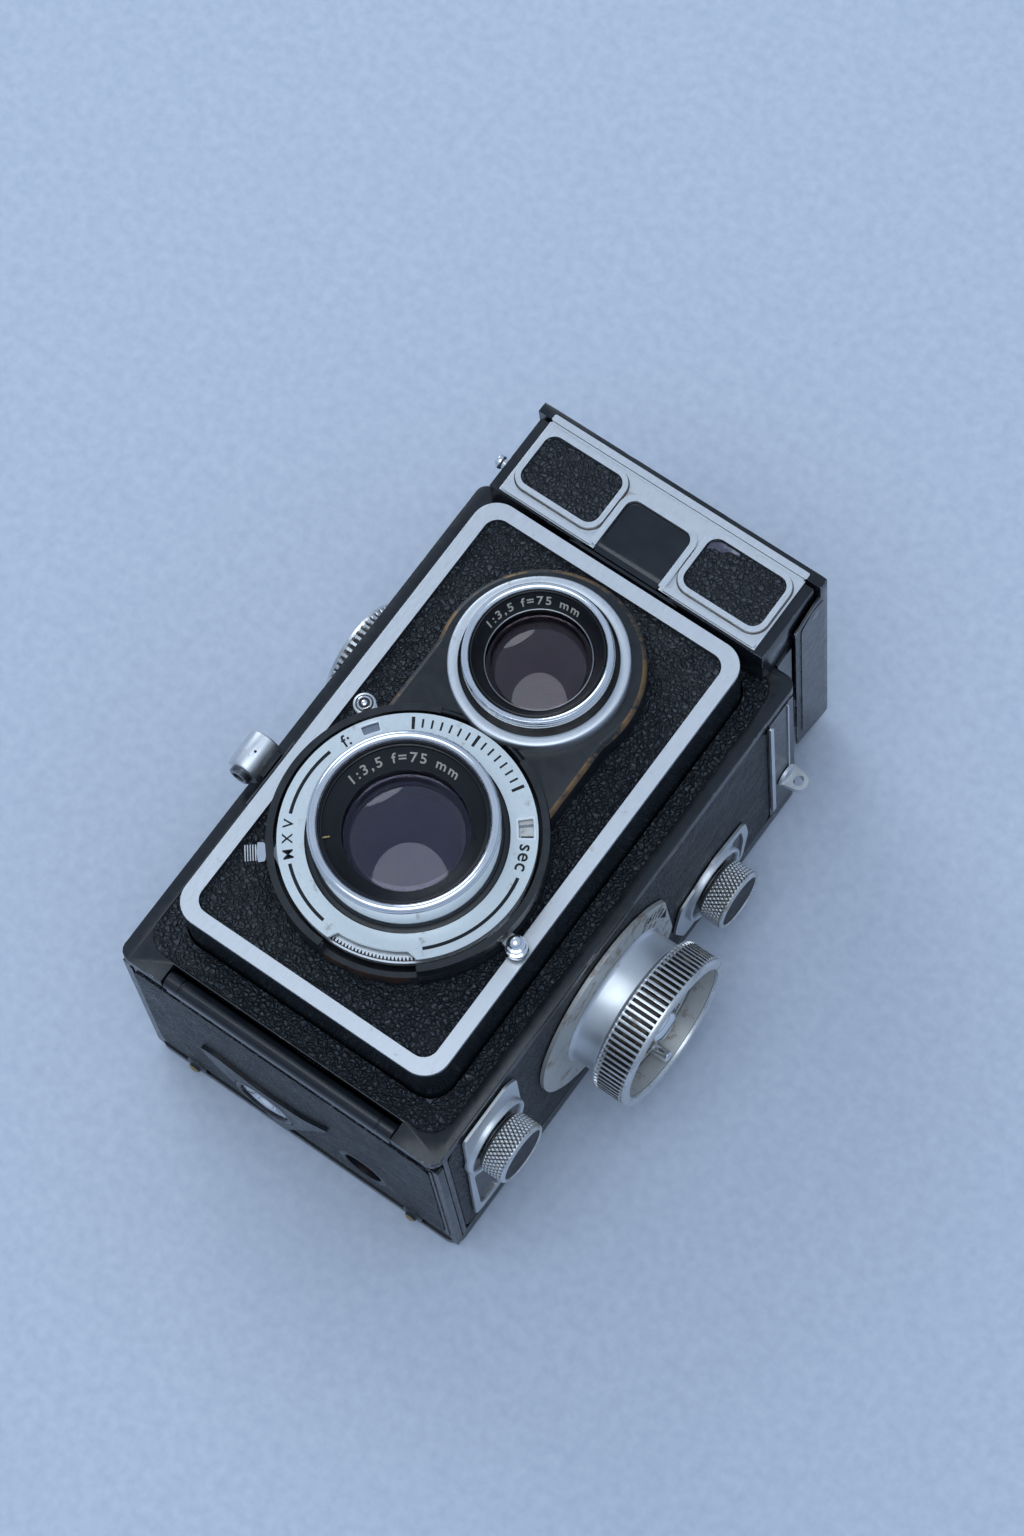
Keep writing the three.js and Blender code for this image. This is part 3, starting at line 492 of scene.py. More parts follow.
# ---------- body ----------
def build_body():
    dress("body_shell", "enamel", 0.45, 3, "edge")
    dress("mirror", "mirror", 0.1)
    dress("hinge_pin", "steel")

    x0, y0, z0, x1, y1, z1 = span("front_border_leather")
    box = (x0, y0, x1, y1)
    hole = inset((TRIM[0], TRIM[1], TRIM[3], TRIM[4]), -0.4, 5.8)
    border = prism([inset(box, 0, 5), hole], z0 + 0.02, z1)
    piece("front_leather", border, "body", "leather", ["front_border_leather"], 0.22)
    seam = prism([inset(box, -0.1, 5.1), inset(box, 0.4, 4.7)],
                 z0 - 0.05, z0 + 0.1)
    piece("front_leather_seam", seam, "body", "inside")

    for node, side in (("right_side_leather", 1), ("left_side_leather", -1)):
        name = node.removesuffix("_leather")
        x0, y0, z0, x1, y1, z1 = span(node)
        loops = [rounded(y0, y1 - 9.5, z0, z1, 3), circle(UPPER, 4.3, 40)]
        if side > 0:
            loops += [circle(LOWER, 4.3, 40), circle(FOCUS, 3, 40)]
        else:
            boss = [(0, -HALF), (0, -HALF - 0.55), (2.2, -HALF - 0.5), (2.5, -HALF - 0.3), (5, -HALF - 0.25),
                    (5.3, -HALF)]
            piece("spool_stud_plate", lathe(boss, "x", LOWER, 64), "body", "satin")
        piece(name + "_covering", prism(loops, x0, x1, "yz"), "body", "leather", [node], 0.2)
        band = rounded(y1 - 9.3, y1 - 0.2, z0 + 0.2, z1, 1.2, 5)
        depth = sorted((side * (HALF - 0.55), side * (HALF + 0.12)))
        piece(name + "_band", prism([band], *depth, "yz"), "body", "enamel", (), 0.2, edge="edge")
        line = rounded(y1 - 2.5, y1 - 2.1, z0 + 10, z1 - 1, 0.15, 2)
        depth = sorted((side * (HALF + 0.05), side * (HALF + 0.4)))
        piece(name + "_line", prism([line], *depth, "yz"), "body", "satin", (), 0.08, 2)


def build_lugs():
    for node, side in (("strap_lug_right", 1), ("strap_lug_left", -1)):
        _, y0, z0, _, _, z1 = span(node)
        strip_x = sorted((side * 39.3, side * 39.9))
        piece(node + "_strip", prism([rounded(y0 - 0.2, y0 + 0.9, z0, z1, 0.4, 3)], *strip_x, "yz"),
              "body", "satin", [node], 0.15, 3)
        loop = [(side * x, y) for x, y in arc((42.4, 56.7), 2.1, -75, 75, 16)]
        eye = [(side * 39.4, 54.0), *loop, (side * 39.4, 59.4)]
        lug = prism([softened(eye, 0.4, 3), circle((side * 42.4, 56.7), 1.15, 32)], 17.6, 19.0)
        piece(node + "_eye", lug, "body", "satin", (), 0.25, 3)
        base = lathe([(0, 39.3), (2.7, 39.3), (2.5, 39.9), (1.7, 40.3), (0, 40.4)], "x", (56.5, 18.4), 40)
        if side < 0:
            base.transform(Matrix.Scale(-1, 4, (1, 0, 0)))
            base.flip_normals()
        piece(node + "_boss", base, "body", "satin")


def ramped(value):
    return min(1, max(0, value))


def grooves(ribs, depth, inside, ends, fade, level, slope):
    """Relief for a grip: grooves between its ribs, outside a radius, that fade out towards both ends."""
    def relief(angle, along, r):
        if r < inside:
            return 0
        reach = ramped((along - ends[0]) / fade) * ramped((ends[1] - along) / fade)
        wave = 0.5 + 0.5 * math.cos(ribs * angle)
        return -depth * reach * ramped((level - wave) / slope)
    return relief


def build_focus_side():
    flange = span("focus_flange")
    centre = (-7, 31)
    outline = softened(arc(centre, 22.9, 29, 340, 90), 1.4)
    plate = prism([outline, circle(FOCUS, 3, 40)], flange[0], flange[0] + 0.9, "yz")
    piece("focus_scale_plate", plate, "body", "cream", ["focus_flange"], 0.25)
    drum = [(2.7, 40.1), (16.2, 40.1), (15.7, 40.5), (15.4, 41.2), (15.4, 46.2), (15.0, 46.7), (2.7, 46.7)]
    piece("focus_drum", lathe(drum, "x", FOCUS, 128), "body", "satin", (), 0.12, 2)
    level = flange[0] + 0.9
    for i, (text, at) in enumerate((("16", (7.2, 44.2)), ("11", (9.6, 41.6)), ("8", (11.3, 39.2)))):
        offset = Vector(at) - Vector(FOCUS)
        r, turn = offset.length, math.degrees(math.atan2(offset.y, offset.x))
        lettering(f"depth_number_{i}", text, 3.3, "body", "black_ink", FOCUS, r, turn, level, plane="yz")
        tick = sector(FOCUS, r - 3.2, r - 1.9, turn - 0.7, turn + 0.7, 2)
        piece(f"depth_tick_{i}", prism([tick], level, level + 0.03, "yz"), "body", "black_ink")
    mark = [(13.3, 37.6), (11.0, 37.0), (12.6, 33.8)]
    piece("depth_mark", prism([mark], level, level + 0.03, "yz"), "body", "black_ink")

    ribs = 78
    ribbed = grooves(ribs, 0.8, 17, (47.55, 54.25), 0.5, 0.66, 0.22)
    rows = [47.3 + 0.35 * i for i in range(21)]
    knob = [(14.6, 50.0), (14.9, 47.2), (17.2, 47.2)] + [(17.6, along) for along in rows]
    knob += [(17.6, 54.7), (17.3, 55.1), (16.9, 55.2), (15.9, 55.2), (15.5, 55.0), (15.3, 54.4), (15.0, 50.0)]
    grip = piece("focus_grip", lathe(knob, "x", FOCUS, ribs * 10, ribbed), "focus_knob", "knurl", ["focus_knob"])
    # The floors between the ribs are painted dark as shade.
    shade_below(grip, "x", FOCUS, 17.2, "painted_shade", (47.4, 54.4))
    inner_wall = [(14.2, 49.5), (15.1, 49.5), (15.35, 54.3), (15.25, 54.3), (14.9, 50.0), (14.2, 50.0)]
    piece("focus_dish_wall", lathe(inner_wall, "x", FOCUS, 128), "focus_knob", "cream")
    piece("focus_web", lathe([(2.2, 47.25), (14.9, 47.25), (14.9, 49.5), (2.2, 49.5)], "x", FOCUS), "focus_knob",
          "satin", (), 0.15, 2)
    shaft = [(0, 32.4), (6, 32.4), (6, 34.4), (2.3, 34.4), (2.3, 49.3), (0, 49.3)]
    piece("focus_spindle", lathe(shaft, "x", FOCUS, 48), "focus_knob", "steel", ["focus_shaft"], 0.15, 2)

    # The reminder disc is painted dark as shade inside the knob's dish, with brown dirt.
    disc = [(0, 49.8), (14.2, 49.8), (14.2, 50.5), (13.8, 50.65), (12.4, 50.65), (12.2, 50.5), (6.2, 50.5),
            (6.0, 50.9), (5.2, 51.6), (4.6, 51.9), (0, 51.9)]
    piece("film_disc", lathe(disc, "x", FOCUS), "reminder_disc", "dish", ["reminder_disc"], 0.1, 2)
    ring = [(6.3, 50.4), (11.9, 50.4), (11.9, 50.75), (11.6, 50.9), (6.6, 50.9), (6.3, 50.75)]
    piece("film_disc_dial", lathe(ring, "x", FOCUS), "reminder_disc", "cream", (), 0.06, 2)
    screw = [(0, 51.9), (3.6, 51.9), (3.6, 52.5), (3.1, 53.2), (2.2, 53.5), (0, 53.6)]
    slot = prism([rounded(FOCUS[0] - 5, FOCUS[0] + 5, FOCUS[1] - 0.45, FOCUS[1] + 0.45, 0.1, 2)], 52.9, 54, "yz")
    piece("film_disc_screw", carved(lathe(screw, "x", FOCUS, 64), slot), "reminder_disc", "chrome", (), 0.08, 2)
    for i, (turn, r, size, top) in enumerate(((40, 9.2, 1.1, 53.0), (78, 8.4, 1.3, 52.6), (262, 12.4, 1.25, 54.6))):
        pin = [(0, 50.5), (size, 50.5), (size, top - 0.35), (size * 0.7, top), (0, top)]
        piece(f"film_disc_pin_{i}", lathe(pin, "x", polar(FOCUS, r, turn), 32), "reminder_disc", "chrome", (), 0.08,
              2)
    for i, number in enumerate(("12", "25", "50", "100", "200", "400")):
        turn = 60 * i + 12
        lettering(f"film_speed_{i}", number, 2.2, "reminder_disc", "black_ink", FOCUS, 9.2, turn, 50.9, plane="yz")
    for i in range(24):
        tick = sector(FOCUS, 12.5, 13.7, 15 * i - 0.4, 15 * i + 0.4, 2)
        piece(f"film_disc_tick_{i}", prism([tick], 50.64, 50.68, "yz"), "reminder_disc", "black_ink")


def diamond(angle, along, around, pitch, depth):
    """Crossed spiral grooves that leave small pyramids."""
    a, b = around * angle / TAU + along / pitch, around * angle / TAU - along / pitch
    saw = lambda t: abs(2 * (t - math.floor(t)) - 1)
    return -depth * max(saw(a), saw(b)) ** 3


def build_spool_knobs():
    for name, at in (("lower", LOWER), ("upper", UPPER)):
        def knurled(angle, along, r):
            return diamond(angle, along, 44, 1.5, 0.38) if r > 6.8 and 42.0 < along < 46.5 else 0

        rows = [42.1 + 0.094 * i for i in range(47)]
        head = [(0, 41.5), (6.3, 41.5), (6.6, 41.9)] + [(6.9, along) for along in rows]
        head += [(6.85, 46.6), (6.7, 46.95), (6.3, 47.2), (6.05, 47.2), (5.9, 46.9), (0, 46.85)]
        knob = piece(name + "_knob_head", lathe(head, "x", at, 44 * 10, knurled), name + "_knob", "knurl",
                     [name + "_knob"])
        # The floors of the knurling are painted dark as shade.
        shade_below(knob, "x", at, 6.66, "painted_shade", (42.0, 46.4))
        piece(name + "_knob_cap", lathe([(0, 46.8), (5.85, 46.8), (5.8, 46.98), (0, 47.02)], "x", at),
              name + "_knob", "knob_end")
        spindle = [(0, 29.4), (2.2, 29.4), (2.2, 41.6), (0, 41.6)]
        piece(name + "_spindle", lathe(spindle, "x", at, 48), name + "_knob", "steel", (), 0.15, 2)
        sleeve = [(2.5, 33.6), (3.6, 33.6), (3.6, 40.9), (6, 40.9), (6, 41.2), (2.5, 41.2)]
        piece(name + "_sleeve", lathe(sleeve, "x", at, 64), name + "_knob_sleeve", "steel", [name + "_knob_sleeve"],
              0.08, 2)

    wing_x = span("lower_wing_plate")
    outline = softened([(-55.2, 9.4), (-53.2, 8.4), (-46, 8.4), (-36.5, 35), (-36.5, 53), (-39, 55.6),
                        (-53.6, 55.6)], 1.2)
    window = softened([(-53.2, 31), (-53.3, 12.2), (-51.8, 10.6), (-47.6, 10.6), (-41.4, 27.8), (-42.6, 31)], 0.8)
    plate = prism([outline, circle(LOWER, 4.2, 64), window], wing_x[0], wing_x[0] + 0.6, "yz")
    piece("lower_wing", plate, "body", "satin", ["lower_wing_plate"], 0.16)
    piece("lower_wing_inset", prism([softened([(-53.6, 31.4), (-53.7, 12), (-52, 10.2), (-47.3, 10.2), (-41, 28)],
                                              0.5)],
                                    HALF + 0.1, HALF + 0.4, "yz"), "body", "enamel")
    outline = softened([(18.3, 7.5), (39.5, 7.5), (42, 17), (41.2, 24.5), (31, 26.3), (18, 23), (15.5, 15)], 1.5)
    window = softened([(34.8, 9.2), (38.9, 9.2), (40.2, 16.8), (39.6, 22.6), (36.6, 23)], 0.8)
    plate = prism([outline, circle(UPPER, 4.2, 64), window], wing_x[0], wing_x[0] + 0.6, "yz")
    piece("upper_wing", plate, "body", "satin", ["upper_wing_plate"], 0.16)
    piece("upper_wing_inset", prism([softened([(34.4, 8.8), (39.2, 8.8), (40.6, 16.8), (40, 23.2), (36.2, 23.4)],
                                              0.5)],
                                    HALF + 0.1, HALF + 0.4, "yz"), "body", "enamel")
    for name, at in (("lower", LOWER), ("upper", UPPER)):
        collar = [(7.9, 39.4), (9.0, 39.4), (9.0, 40.6), (8.8, 41.0), (8.5, 41.1), (8.2, 41.0), (7.9, 40.6)]
        piece(name + "_wing_collar", lathe(collar, "x", at, 96), "body", "satin")
        # The recess floor round each knob is painted dark as shade.
        floor = [(4.3, 39.5), (8.0, 39.5), (8.0, 40.15), (4.3, 40.15)]
        piece(name + "_wing_recess", lathe(floor, "x", at, 96), "body", "dish")


def build_wind_knob():
    x0 = span("wind_knob")[0]
    ribs = 50

    ribbed = grooves(ribs, 0.5, 12, (x0 + 1.2, x0 + 9.2), 0.4, 0.6, 0.3)
    rows = [x0 + 1 + 0.44 * i for i in range(20)]
    head = raised(x0, (0, 0.9), (5.4, 0.9), (5.7, 0.5), (9.6, 0.5), (10.0, 0.05), (11.6, 0), (12.2, 0.3))
    head += [(12.5, along) for along in rows] + [(12.3, x0 + 9.6), (11.8, x0 + 10), (0, x0 + 10)]
    grip = piece("wind_grip", lathe(head, "x", UPPER, ribs * 10, ribbed), "wind_knob", "knurl", ["wind_knob"])
    # The floors between the ribs are painted dark as shade.
    shade_below(grip, "x", UPPER, 12.2, "painted_shade", (x0 + 1.2, x0 + 9.2))
    shaft = [(0, -41.5), (2.5, -41.5), (2.5, -32.6), (2.2, -32.6), (2.2, -29.6), (0, -29.6)]
    piece("wind_spindle", lathe(shaft, "x", UPPER, 48), "wind_knob", "steel", (), 0.1, 2)
    cap = raised(x0, (0, 0.95), (4.8, 0.95), (4.6, 0.45), (3.4, 0.15), (0, 0.1))
    slot = prism([rounded(UPPER[0] - 6, UPPER[0] + 6, UPPER[1] - 0.4, UPPER[1] + 0.4, 0.1, 2)], x0 - 1, x0 + 0.45,
                 "yz")
    piece("wind_cap", carved(lathe(cap, "x", UPPER, 64), slot), "wind_knob", "chrome", (), 0.06, 2)
    for i in range(8):
        mark = sector(UPPER, 6.6, 8.6, 45 * i - 9, 45 * i + 9, 6)
        piece(f"wind_mark_{i}", prism([mark], x0 + 0.44, x0 + 0.5, "yz"), "wind_knob", "black_ink")


# ---------- hood ----------
def build_hood():
    dress("hood_base", "enamel", 0.5, 3, "edge")
    dress("ground_glass", "ground_glass", 0.1)
    dress("hood_lid", "enamel", 0.16, 2, "edge")
    for node in ("hood_flap_left", "hood_flap_right", "hood_rear_flap"):
        dress(node, "inside", 0.1, 2, "edge")
    dress("magnifier_arm", "inside", 0.1)

    x0, y0, z0, x1, y1, z1 = span("hood_front_plate")
    bx0, by0, _, bx1, by1, _ = span("badge_plate")
    bx0, bx1 = bx0 + 0.7, bx1 - 0.7
    flat = z1 - 0.75

    def arch(grow, foot):
        """The outline of the badge's opening, grown outwards, from its right foot over to its left."""
        corners = (((bx1 - 2.2, by1 - 2.2), 0, 2.2 + grow), ((bx0 + 2.2, by1 - 2.2), 90, 2.2 + grow))
        points = [(bx1 + grow, foot)] + [p for c, turn, r in corners for p in arc(c, r, turn, turn + 90, 8)]
        return points + [(bx0 - grow, foot)]

    plate = [(x1, y0), (x1, y1), (x0, y1), (x0, y0)] + list(reversed(arch(0.3, y0)))
    piece("hood_plate", prism([plate], z0 - 0.2, flat), "body", "frame", ["hood_front_plate"], 0.12)
    piece("badge_arch", prism([arch(1.5, y0 + 0.9) + list(reversed(arch(0.15, y0 + 0.4)))], flat - 0.2, z1 + 0.25),
          "body", "frame", (), 0.4, 4)
    lip = prism([rounded(x0, x1, y1 + 0.2, y1 + 1.75, 0.4, 4)], 72.6, 73.09)
    piece("lid_front_strip", lip, "hood_lid", "frame", (), 0.05, 2)
    edge_strip = [(x0 + 0.4, y1 - 0.3), (x1 - 0.4, y1 - 0.3), (x1 - 0.4, y1 + 0.12), (x0 + 0.4, y1 + 0.12)]
    piece("hood_plate_edge", prism([edge_strip], 72.2, 72.88), "body", "frame")
    for side, low, high in (("left", x0 + 0.3, bx0 - 1.0), ("right", bx1 + 1.0, x1 - 0.3)):
        bead = prism([rounded(low, high, y0 + 0.15, y0 + 1.3, 0.5, 5)], flat - 0.2, z1 - 0.1)
        piece(f"hood_bead_{side}", bead, "body", "frame", (), 0.35, 4)
        node = "hood_leather_" + side
        lx0, ly0, _, lx1, ly1, _ = span(node)
        panel = lx0, ly0, lx1, ly1 = lx0 - 0.9, ly0 - 0.35, lx1 + 0.9, ly1 + 0.7
        rim = [inset(panel, -1.15, 3.6), inset(panel, 0, 2.5)]
        piece(f"hood_rim_{side}", prism(rim, flat - 0.2, z1 + 0.3), "body", "frame", (), 0.42, 4)
        shade = [inset(panel, -1.4, 3.8), inset(panel, -1, 3.4)]
        piece(f"hood_rim_shade_{side}", prism(shade, flat - 0.1, flat + 0.03), "body", "dish")
        skin = prism([inset(panel, 0.05, 2.4)], z0 + 0.1, z1 - 0.15)
        piece(f"hood_panel_{side}", skin, "body", "leather", [node], 0.3, 4)
        if side == "right":
            torn = [(lx0 + 0.4, ly1 - 3.4), (lx0 + 1.6, ly1 - 2.2), (lx0 + 3.4, ly1 - 2.4), (lx0 + 4.6, ly1 - 1.2),
                    (lx0 + 6.8, ly1 - 0.9), (lx0 + 6.6, ly1 - 0.4), (lx0 + 2.2, ly1 - 0.4), (lx0 + 0.4, ly1 - 1.6)]
            piece("hood_panel_tear", prism([softened(torn, 0.5)], z1 - 0.5, z1 - 0.1), "body", "torn", (), 0.06, 2)
    badge = arch(0, by0 - 0.3)
    piece("badge", prism([badge], z0 - 0.4, flat - 0.05), "body", "badge", ["badge_plate"], 0.3, 4)
    fold = [(56.6, 70.2), (57.2, 71.3), (58.1, 72.2), (59.4, 72.75), (61.2, flat + 0.12), (61.5, flat - 0.4),
            (58.6, 71.6), (57.4, 70.0)]
    piece("badge_fold", prism([fold], bx0 - 0.2, bx1 + 0.2, "yz"), "body", "badge", (), 0.12, 2)
    lip = [(-13.5, 57.0), (13.5, 57.0), (bx1 + 1.6, 58.2), (bx0 - 1.6, 58.2)]
    piece("badge_lip", prism([softened(lip, 0.6)], 70.6, 72.2), "body", "enamel", (), 0.5, 4, "edge")

    latch = [(0, -37.4), (1.0, -37.35), (1.5, -37.0), (1.6, -36.5), (1.5, -36.0), (1.2, -35.7), (1.2, -34.6),
             (1.5, -34.4), (1.5, -33.7), (0, -33.7)]
    piece("hood_latch_pin", lathe(latch, "x", (65.2, 66), 48), "hood_latch", "chrome", ["hood_latch"])

    lid = span("hood_lid")
    for side in (1, -1):
        rivet = lathe([(0, 0), (1.25, 0), (1.1, 0.22), (0.5, 0.36), (0, 0.38)], "x", (74.2, 63.5), 32)
        rivet.transform(Matrix.Translation(Vector((lid[3] - 0.03, 0, 0)) * MM))
        if side < 0:
            rivet.transform(Matrix.Scale(-1, 4, (1, 0, 0)))
            rivet.flip_normals()
        piece(f"lid_rivet_{hand(side)}", rivet, "hood_lid", "steel")
        ridge_x = (lid[3] - 0.05, lid[3] + 0.12) if side > 0 else (lid[0] - 0.12, lid[0] + 0.05)
        ridge = softened([(69.4, 8.5), (75.8, 6), (77.4, 7.5), (77.4, 65.5), (73.4, 66.6), (69.4, 64)], 1.2)
        piece(f"lid_ridge_{hand(side)}", prism([ridge], *ridge_x, "yz"), "hood_lid", "enamel", (), 0.08, 2, "edge")
    panel = rounded(lid[0] + 3.4, lid[3] - 3.4, lid[2] + 4.2, lid[5] - 4.4, 4)
    piece("lid_leather", prism([panel], lid[4] - 0.3, lid[4] + 0.3, "xz"), "hood_lid", "leather", (), 0.2)
    rim = [rounded(lid[0] + 2.4, lid[3] - 2.4, lid[2] + 3.2, lid[5] - 3.4, 5),
           rounded(lid[0] + 3.3, lid[3] - 3.3, lid[2] + 4.1, lid[5] - 4.3, 4.1)]
    piece("lid_bead", prism(rim, lid[4] - 0.2, lid[4] + 0.38, "xz"), "hood_lid", "enamel", (), 0.25, 3, "edge")

    low, high = span("magnifier_lens")[1], span("magnifier_lens")[4]
    centre, r = axis_of("magnifier_lens", 0, 2), 11.2
    angles = [i * math.pi / 24 for i in range(12)]
    glass = [(0, low)] + raised(low + 0.8, *[(r * math.sin(a), -0.75 * math.cos(a)) for a in angles[1:]])
    glass += [(r, low + 1.2)] + raised(low + 1.4,
                                       *[(r * math.cos(a), 1.25 * math.sin(a)) for a in angles]) + [(0, high)]
    piece("magnifier_glass", lathe(glass, "y", centre), "magnifier", "clear_glass", ["magnifier_lens"])
    hoop = raised(low, (11.3, 0.65), (13.0, 0.65), (13.0, 2.1), (12.4, 2.4), (11.3, 2.3))
    piece("magnifier_hoop", lathe(hoop, "y", centre), "magnifier", "satin_enamel", (), 0.1, 2)


# ---------- front standard ----------
def plate_outline(grow=0.0):
    """The upper lens's disc, a straight neck, and the shutter's circle cut out of its foot."""
    r, half = PLATE[3] + grow, 20.2 + grow
    drop = math.degrees(math.asin(half / r))
    shutter = 27.9
    foot = math.degrees(math.acos(half / shutter))
    return arc(VIEW, r, drop - 90, 270 - drop, 80) + arc(TAKE, shutter, 180 - foot, foot, 40)


def build_board():
    x0, y0, z0, x1, y1, z1 = TRIM
    box = (x0, y0, x1, y1)
    board = span("lens_board")
    outer, inner = inset(box, 0, 5.5), inset(box, 1.5, 4)
    piece("board_walls", prism([outer, inner], 53, board[5]), "standard", "enamel", ["lens_board"], 0.2)
    front = [inset(box, 1, 4.5), circle(TAKE, 20.5), circle(VIEW, 14)]
    piece("board_front", prism(front, 70.4, 71.75), "standard", "inside")
    arm = prism([softened([(0.5, 22), (4.5, 22), (4.5, 53.2), (0.5, 53.2)], 0.8)], x1 - 1.5, x1, "yz")
    piece("focus_follower", arm, "standard", "steel", (), 0.2)
    rail = prism([softened([(-34.4, 64.2), (-31.7, 64.2), (-31.7, 67.8), (-34.4, 67.8)], 0.5)], -24, -8, "xz")
    piece("release_rail", rail, "standard", "enamel", (), 0.3, 3, "edge")

    opening = inset(box, 3.3, 3.2)
    piece("front_frame", prism([outer, opening], z0 - 0.05, z1), "standard", "frame", ["frame_trim"], 0.28, 4)
    skin = [inset(box, 3.4, 3.1), circle(TAKE, 20.6), circle(VIEW, 14.2)]
    piece("board_covering", prism(skin, 71.8, 72.45), "standard", "leather", ["board_leather"], 0.2)

    turn, top = 1.3, PLATE[5] - 0.15
    hole = circle(VIEW, 13.7)
    layers = [([plate_outline(), hole], z1 - 0.75)]
    for k in range(7):
        angle = math.radians(15 * k)
        outline = plate_outline(turn * (math.cos(angle) - 1))
        layers.append(([outline, hole], top - turn + turn * math.sin(angle)))
    plate = piece("upper_plate", stacked(layers), "standard", "satin_enamel", ["lens_plate"])
    plate.data.materials.append(M["brass_edge"])
    for face in plate.data.polygons:
        if 0.3 < abs(face.normal.z) < 0.97 and face.center.z > (top - turn) * MM:
            face.material_index = 1


def build_viewing_lens():
    ring = span("viewing_ring")
    top = ring[5]
    collar = [(16.0, 79.0), (18.1, 79.0)]
    collar += raised(top, (18.1, -0.3), (17.95, -0.08), (17.75, 0), (16.2, 0), (16.05, -0.08), (16.0, -0.3))
    piece("viewing_collar", lathe(collar, "z", VIEW, 200), "standard", "frame", ["viewing_ring"])
    well = [(15.15, 78.6), (15.98, 78.6), (15.98, 81.6), (15.9, 81.6), (15.85, 79.2), (15.15, 79.2)]
    piece("viewing_well", lathe(well, "z", VIEW), "standard", "anodised")
    top = span("viewing_bezel")[5]

    def reeded(angle, along, r):
        return 0.05 * math.cos(180 * angle) if r > 15 and 83.6 < along < 84.9 else 0

    bezel = [(13.4, 74.4), (15.05, 74.4), (15.05, 83.5), (15.1, 83.7), (15.1, 84.2), (15.1, 84.8), (15.0, 85.0),
             (15.1, 85.5), (15.0, 86.1), (14.7, 86.45), (14.3, top), (13.9, 86.4), (13.6, 86.1), (13.4, 85.6)]
    piece("viewing_rim", lathe(bezel, "z", VIEW, 360, reeded), "standard", "chrome", ["viewing_bezel"])
    names = [(10.8, 62), (13.2, 62), (13.2, 85.7), (12.9, 85.5), (12.6, 85.0), (11.2, 82.9), (10.9, 82.6)]
    piece("viewing_inner_ring", lathe(names, "z", VIEW, 128), "standard", "anodised", ["viewing_name_ring"])
    thread = [(12.75, 85.1), (13.35, 85.1), (13.35, 85.9), (13.1, 86.0), (12.9, 85.7)]
    piece("viewing_thread", lathe(thread, "z", VIEW, 128), "standard", "anodised")
    lettering("viewing_engraving", "1:3,5 f=75 mm", 2.7, "standard", "pale_ink", VIEW, 11.9, 133, 84.05, 56,
              spacing=1.3)
    lens_stack("viewing", VIEW, 10.6, span("viewing_lens")[5], "viewing", "viewing_lens", 12.9)
    circle_line = [(10.62, 82.4), (10.8, 82.4), (10.8, 82.66), (10.62, 82.62)]
    piece("viewing_retainer", lathe(circle_line, "z", VIEW, 128), "standard", "steel")


def lens_stack(name, axis, r, top, glass, node, depth):
    """A domed front element over a dark barrel with a smaller coated element inside."""
    dome = [(r * k / 16, top - 2.1 * (k / 16) ** 2) for k in range(17)]
    hollow = [(r * k / 10, top - 2.2 - 0.5 * (k / 10) ** 2) for k in range(9, -1, -1)]
    front = dome + [(r, top - 2.7), (r * 0.96, top - 2.8)] + hollow
    piece(name + "_glass", lathe(front, "z", axis, 128), "standard", glass + "_front", [node])
    base = top - depth
    barrel = [(r, base), (r + 0.15, base)]
    barrel += raised(top, (r + 0.15, -2.7), (r - 0.05, -2.9), (r * 0.84, -5.2), (r * 0.8, -8)) + [(r * 0.8, base)]
    piece(name + "_barrel", lathe(barrel, "z", axis, 96), "standard", "inside")
    inner = r * 0.78
    second = [(inner * k / 16, top - 5.4 - 2.2 * (k / 16) ** 2) for k in range(17)]
    second += [(inner, top - 8.6), (0, top - 8.9)]
    piece(name + "_inner_glass", lathe(second, "z", axis, 96), "standard", glass + "_inner")
    piece(name + "_stop", lathe([(0, top - 10.4), (inner, top - 10.4), (inner, top - 9.8), (0, top - 9.8)], "z",
                                axis, 96), "standard", "inside")


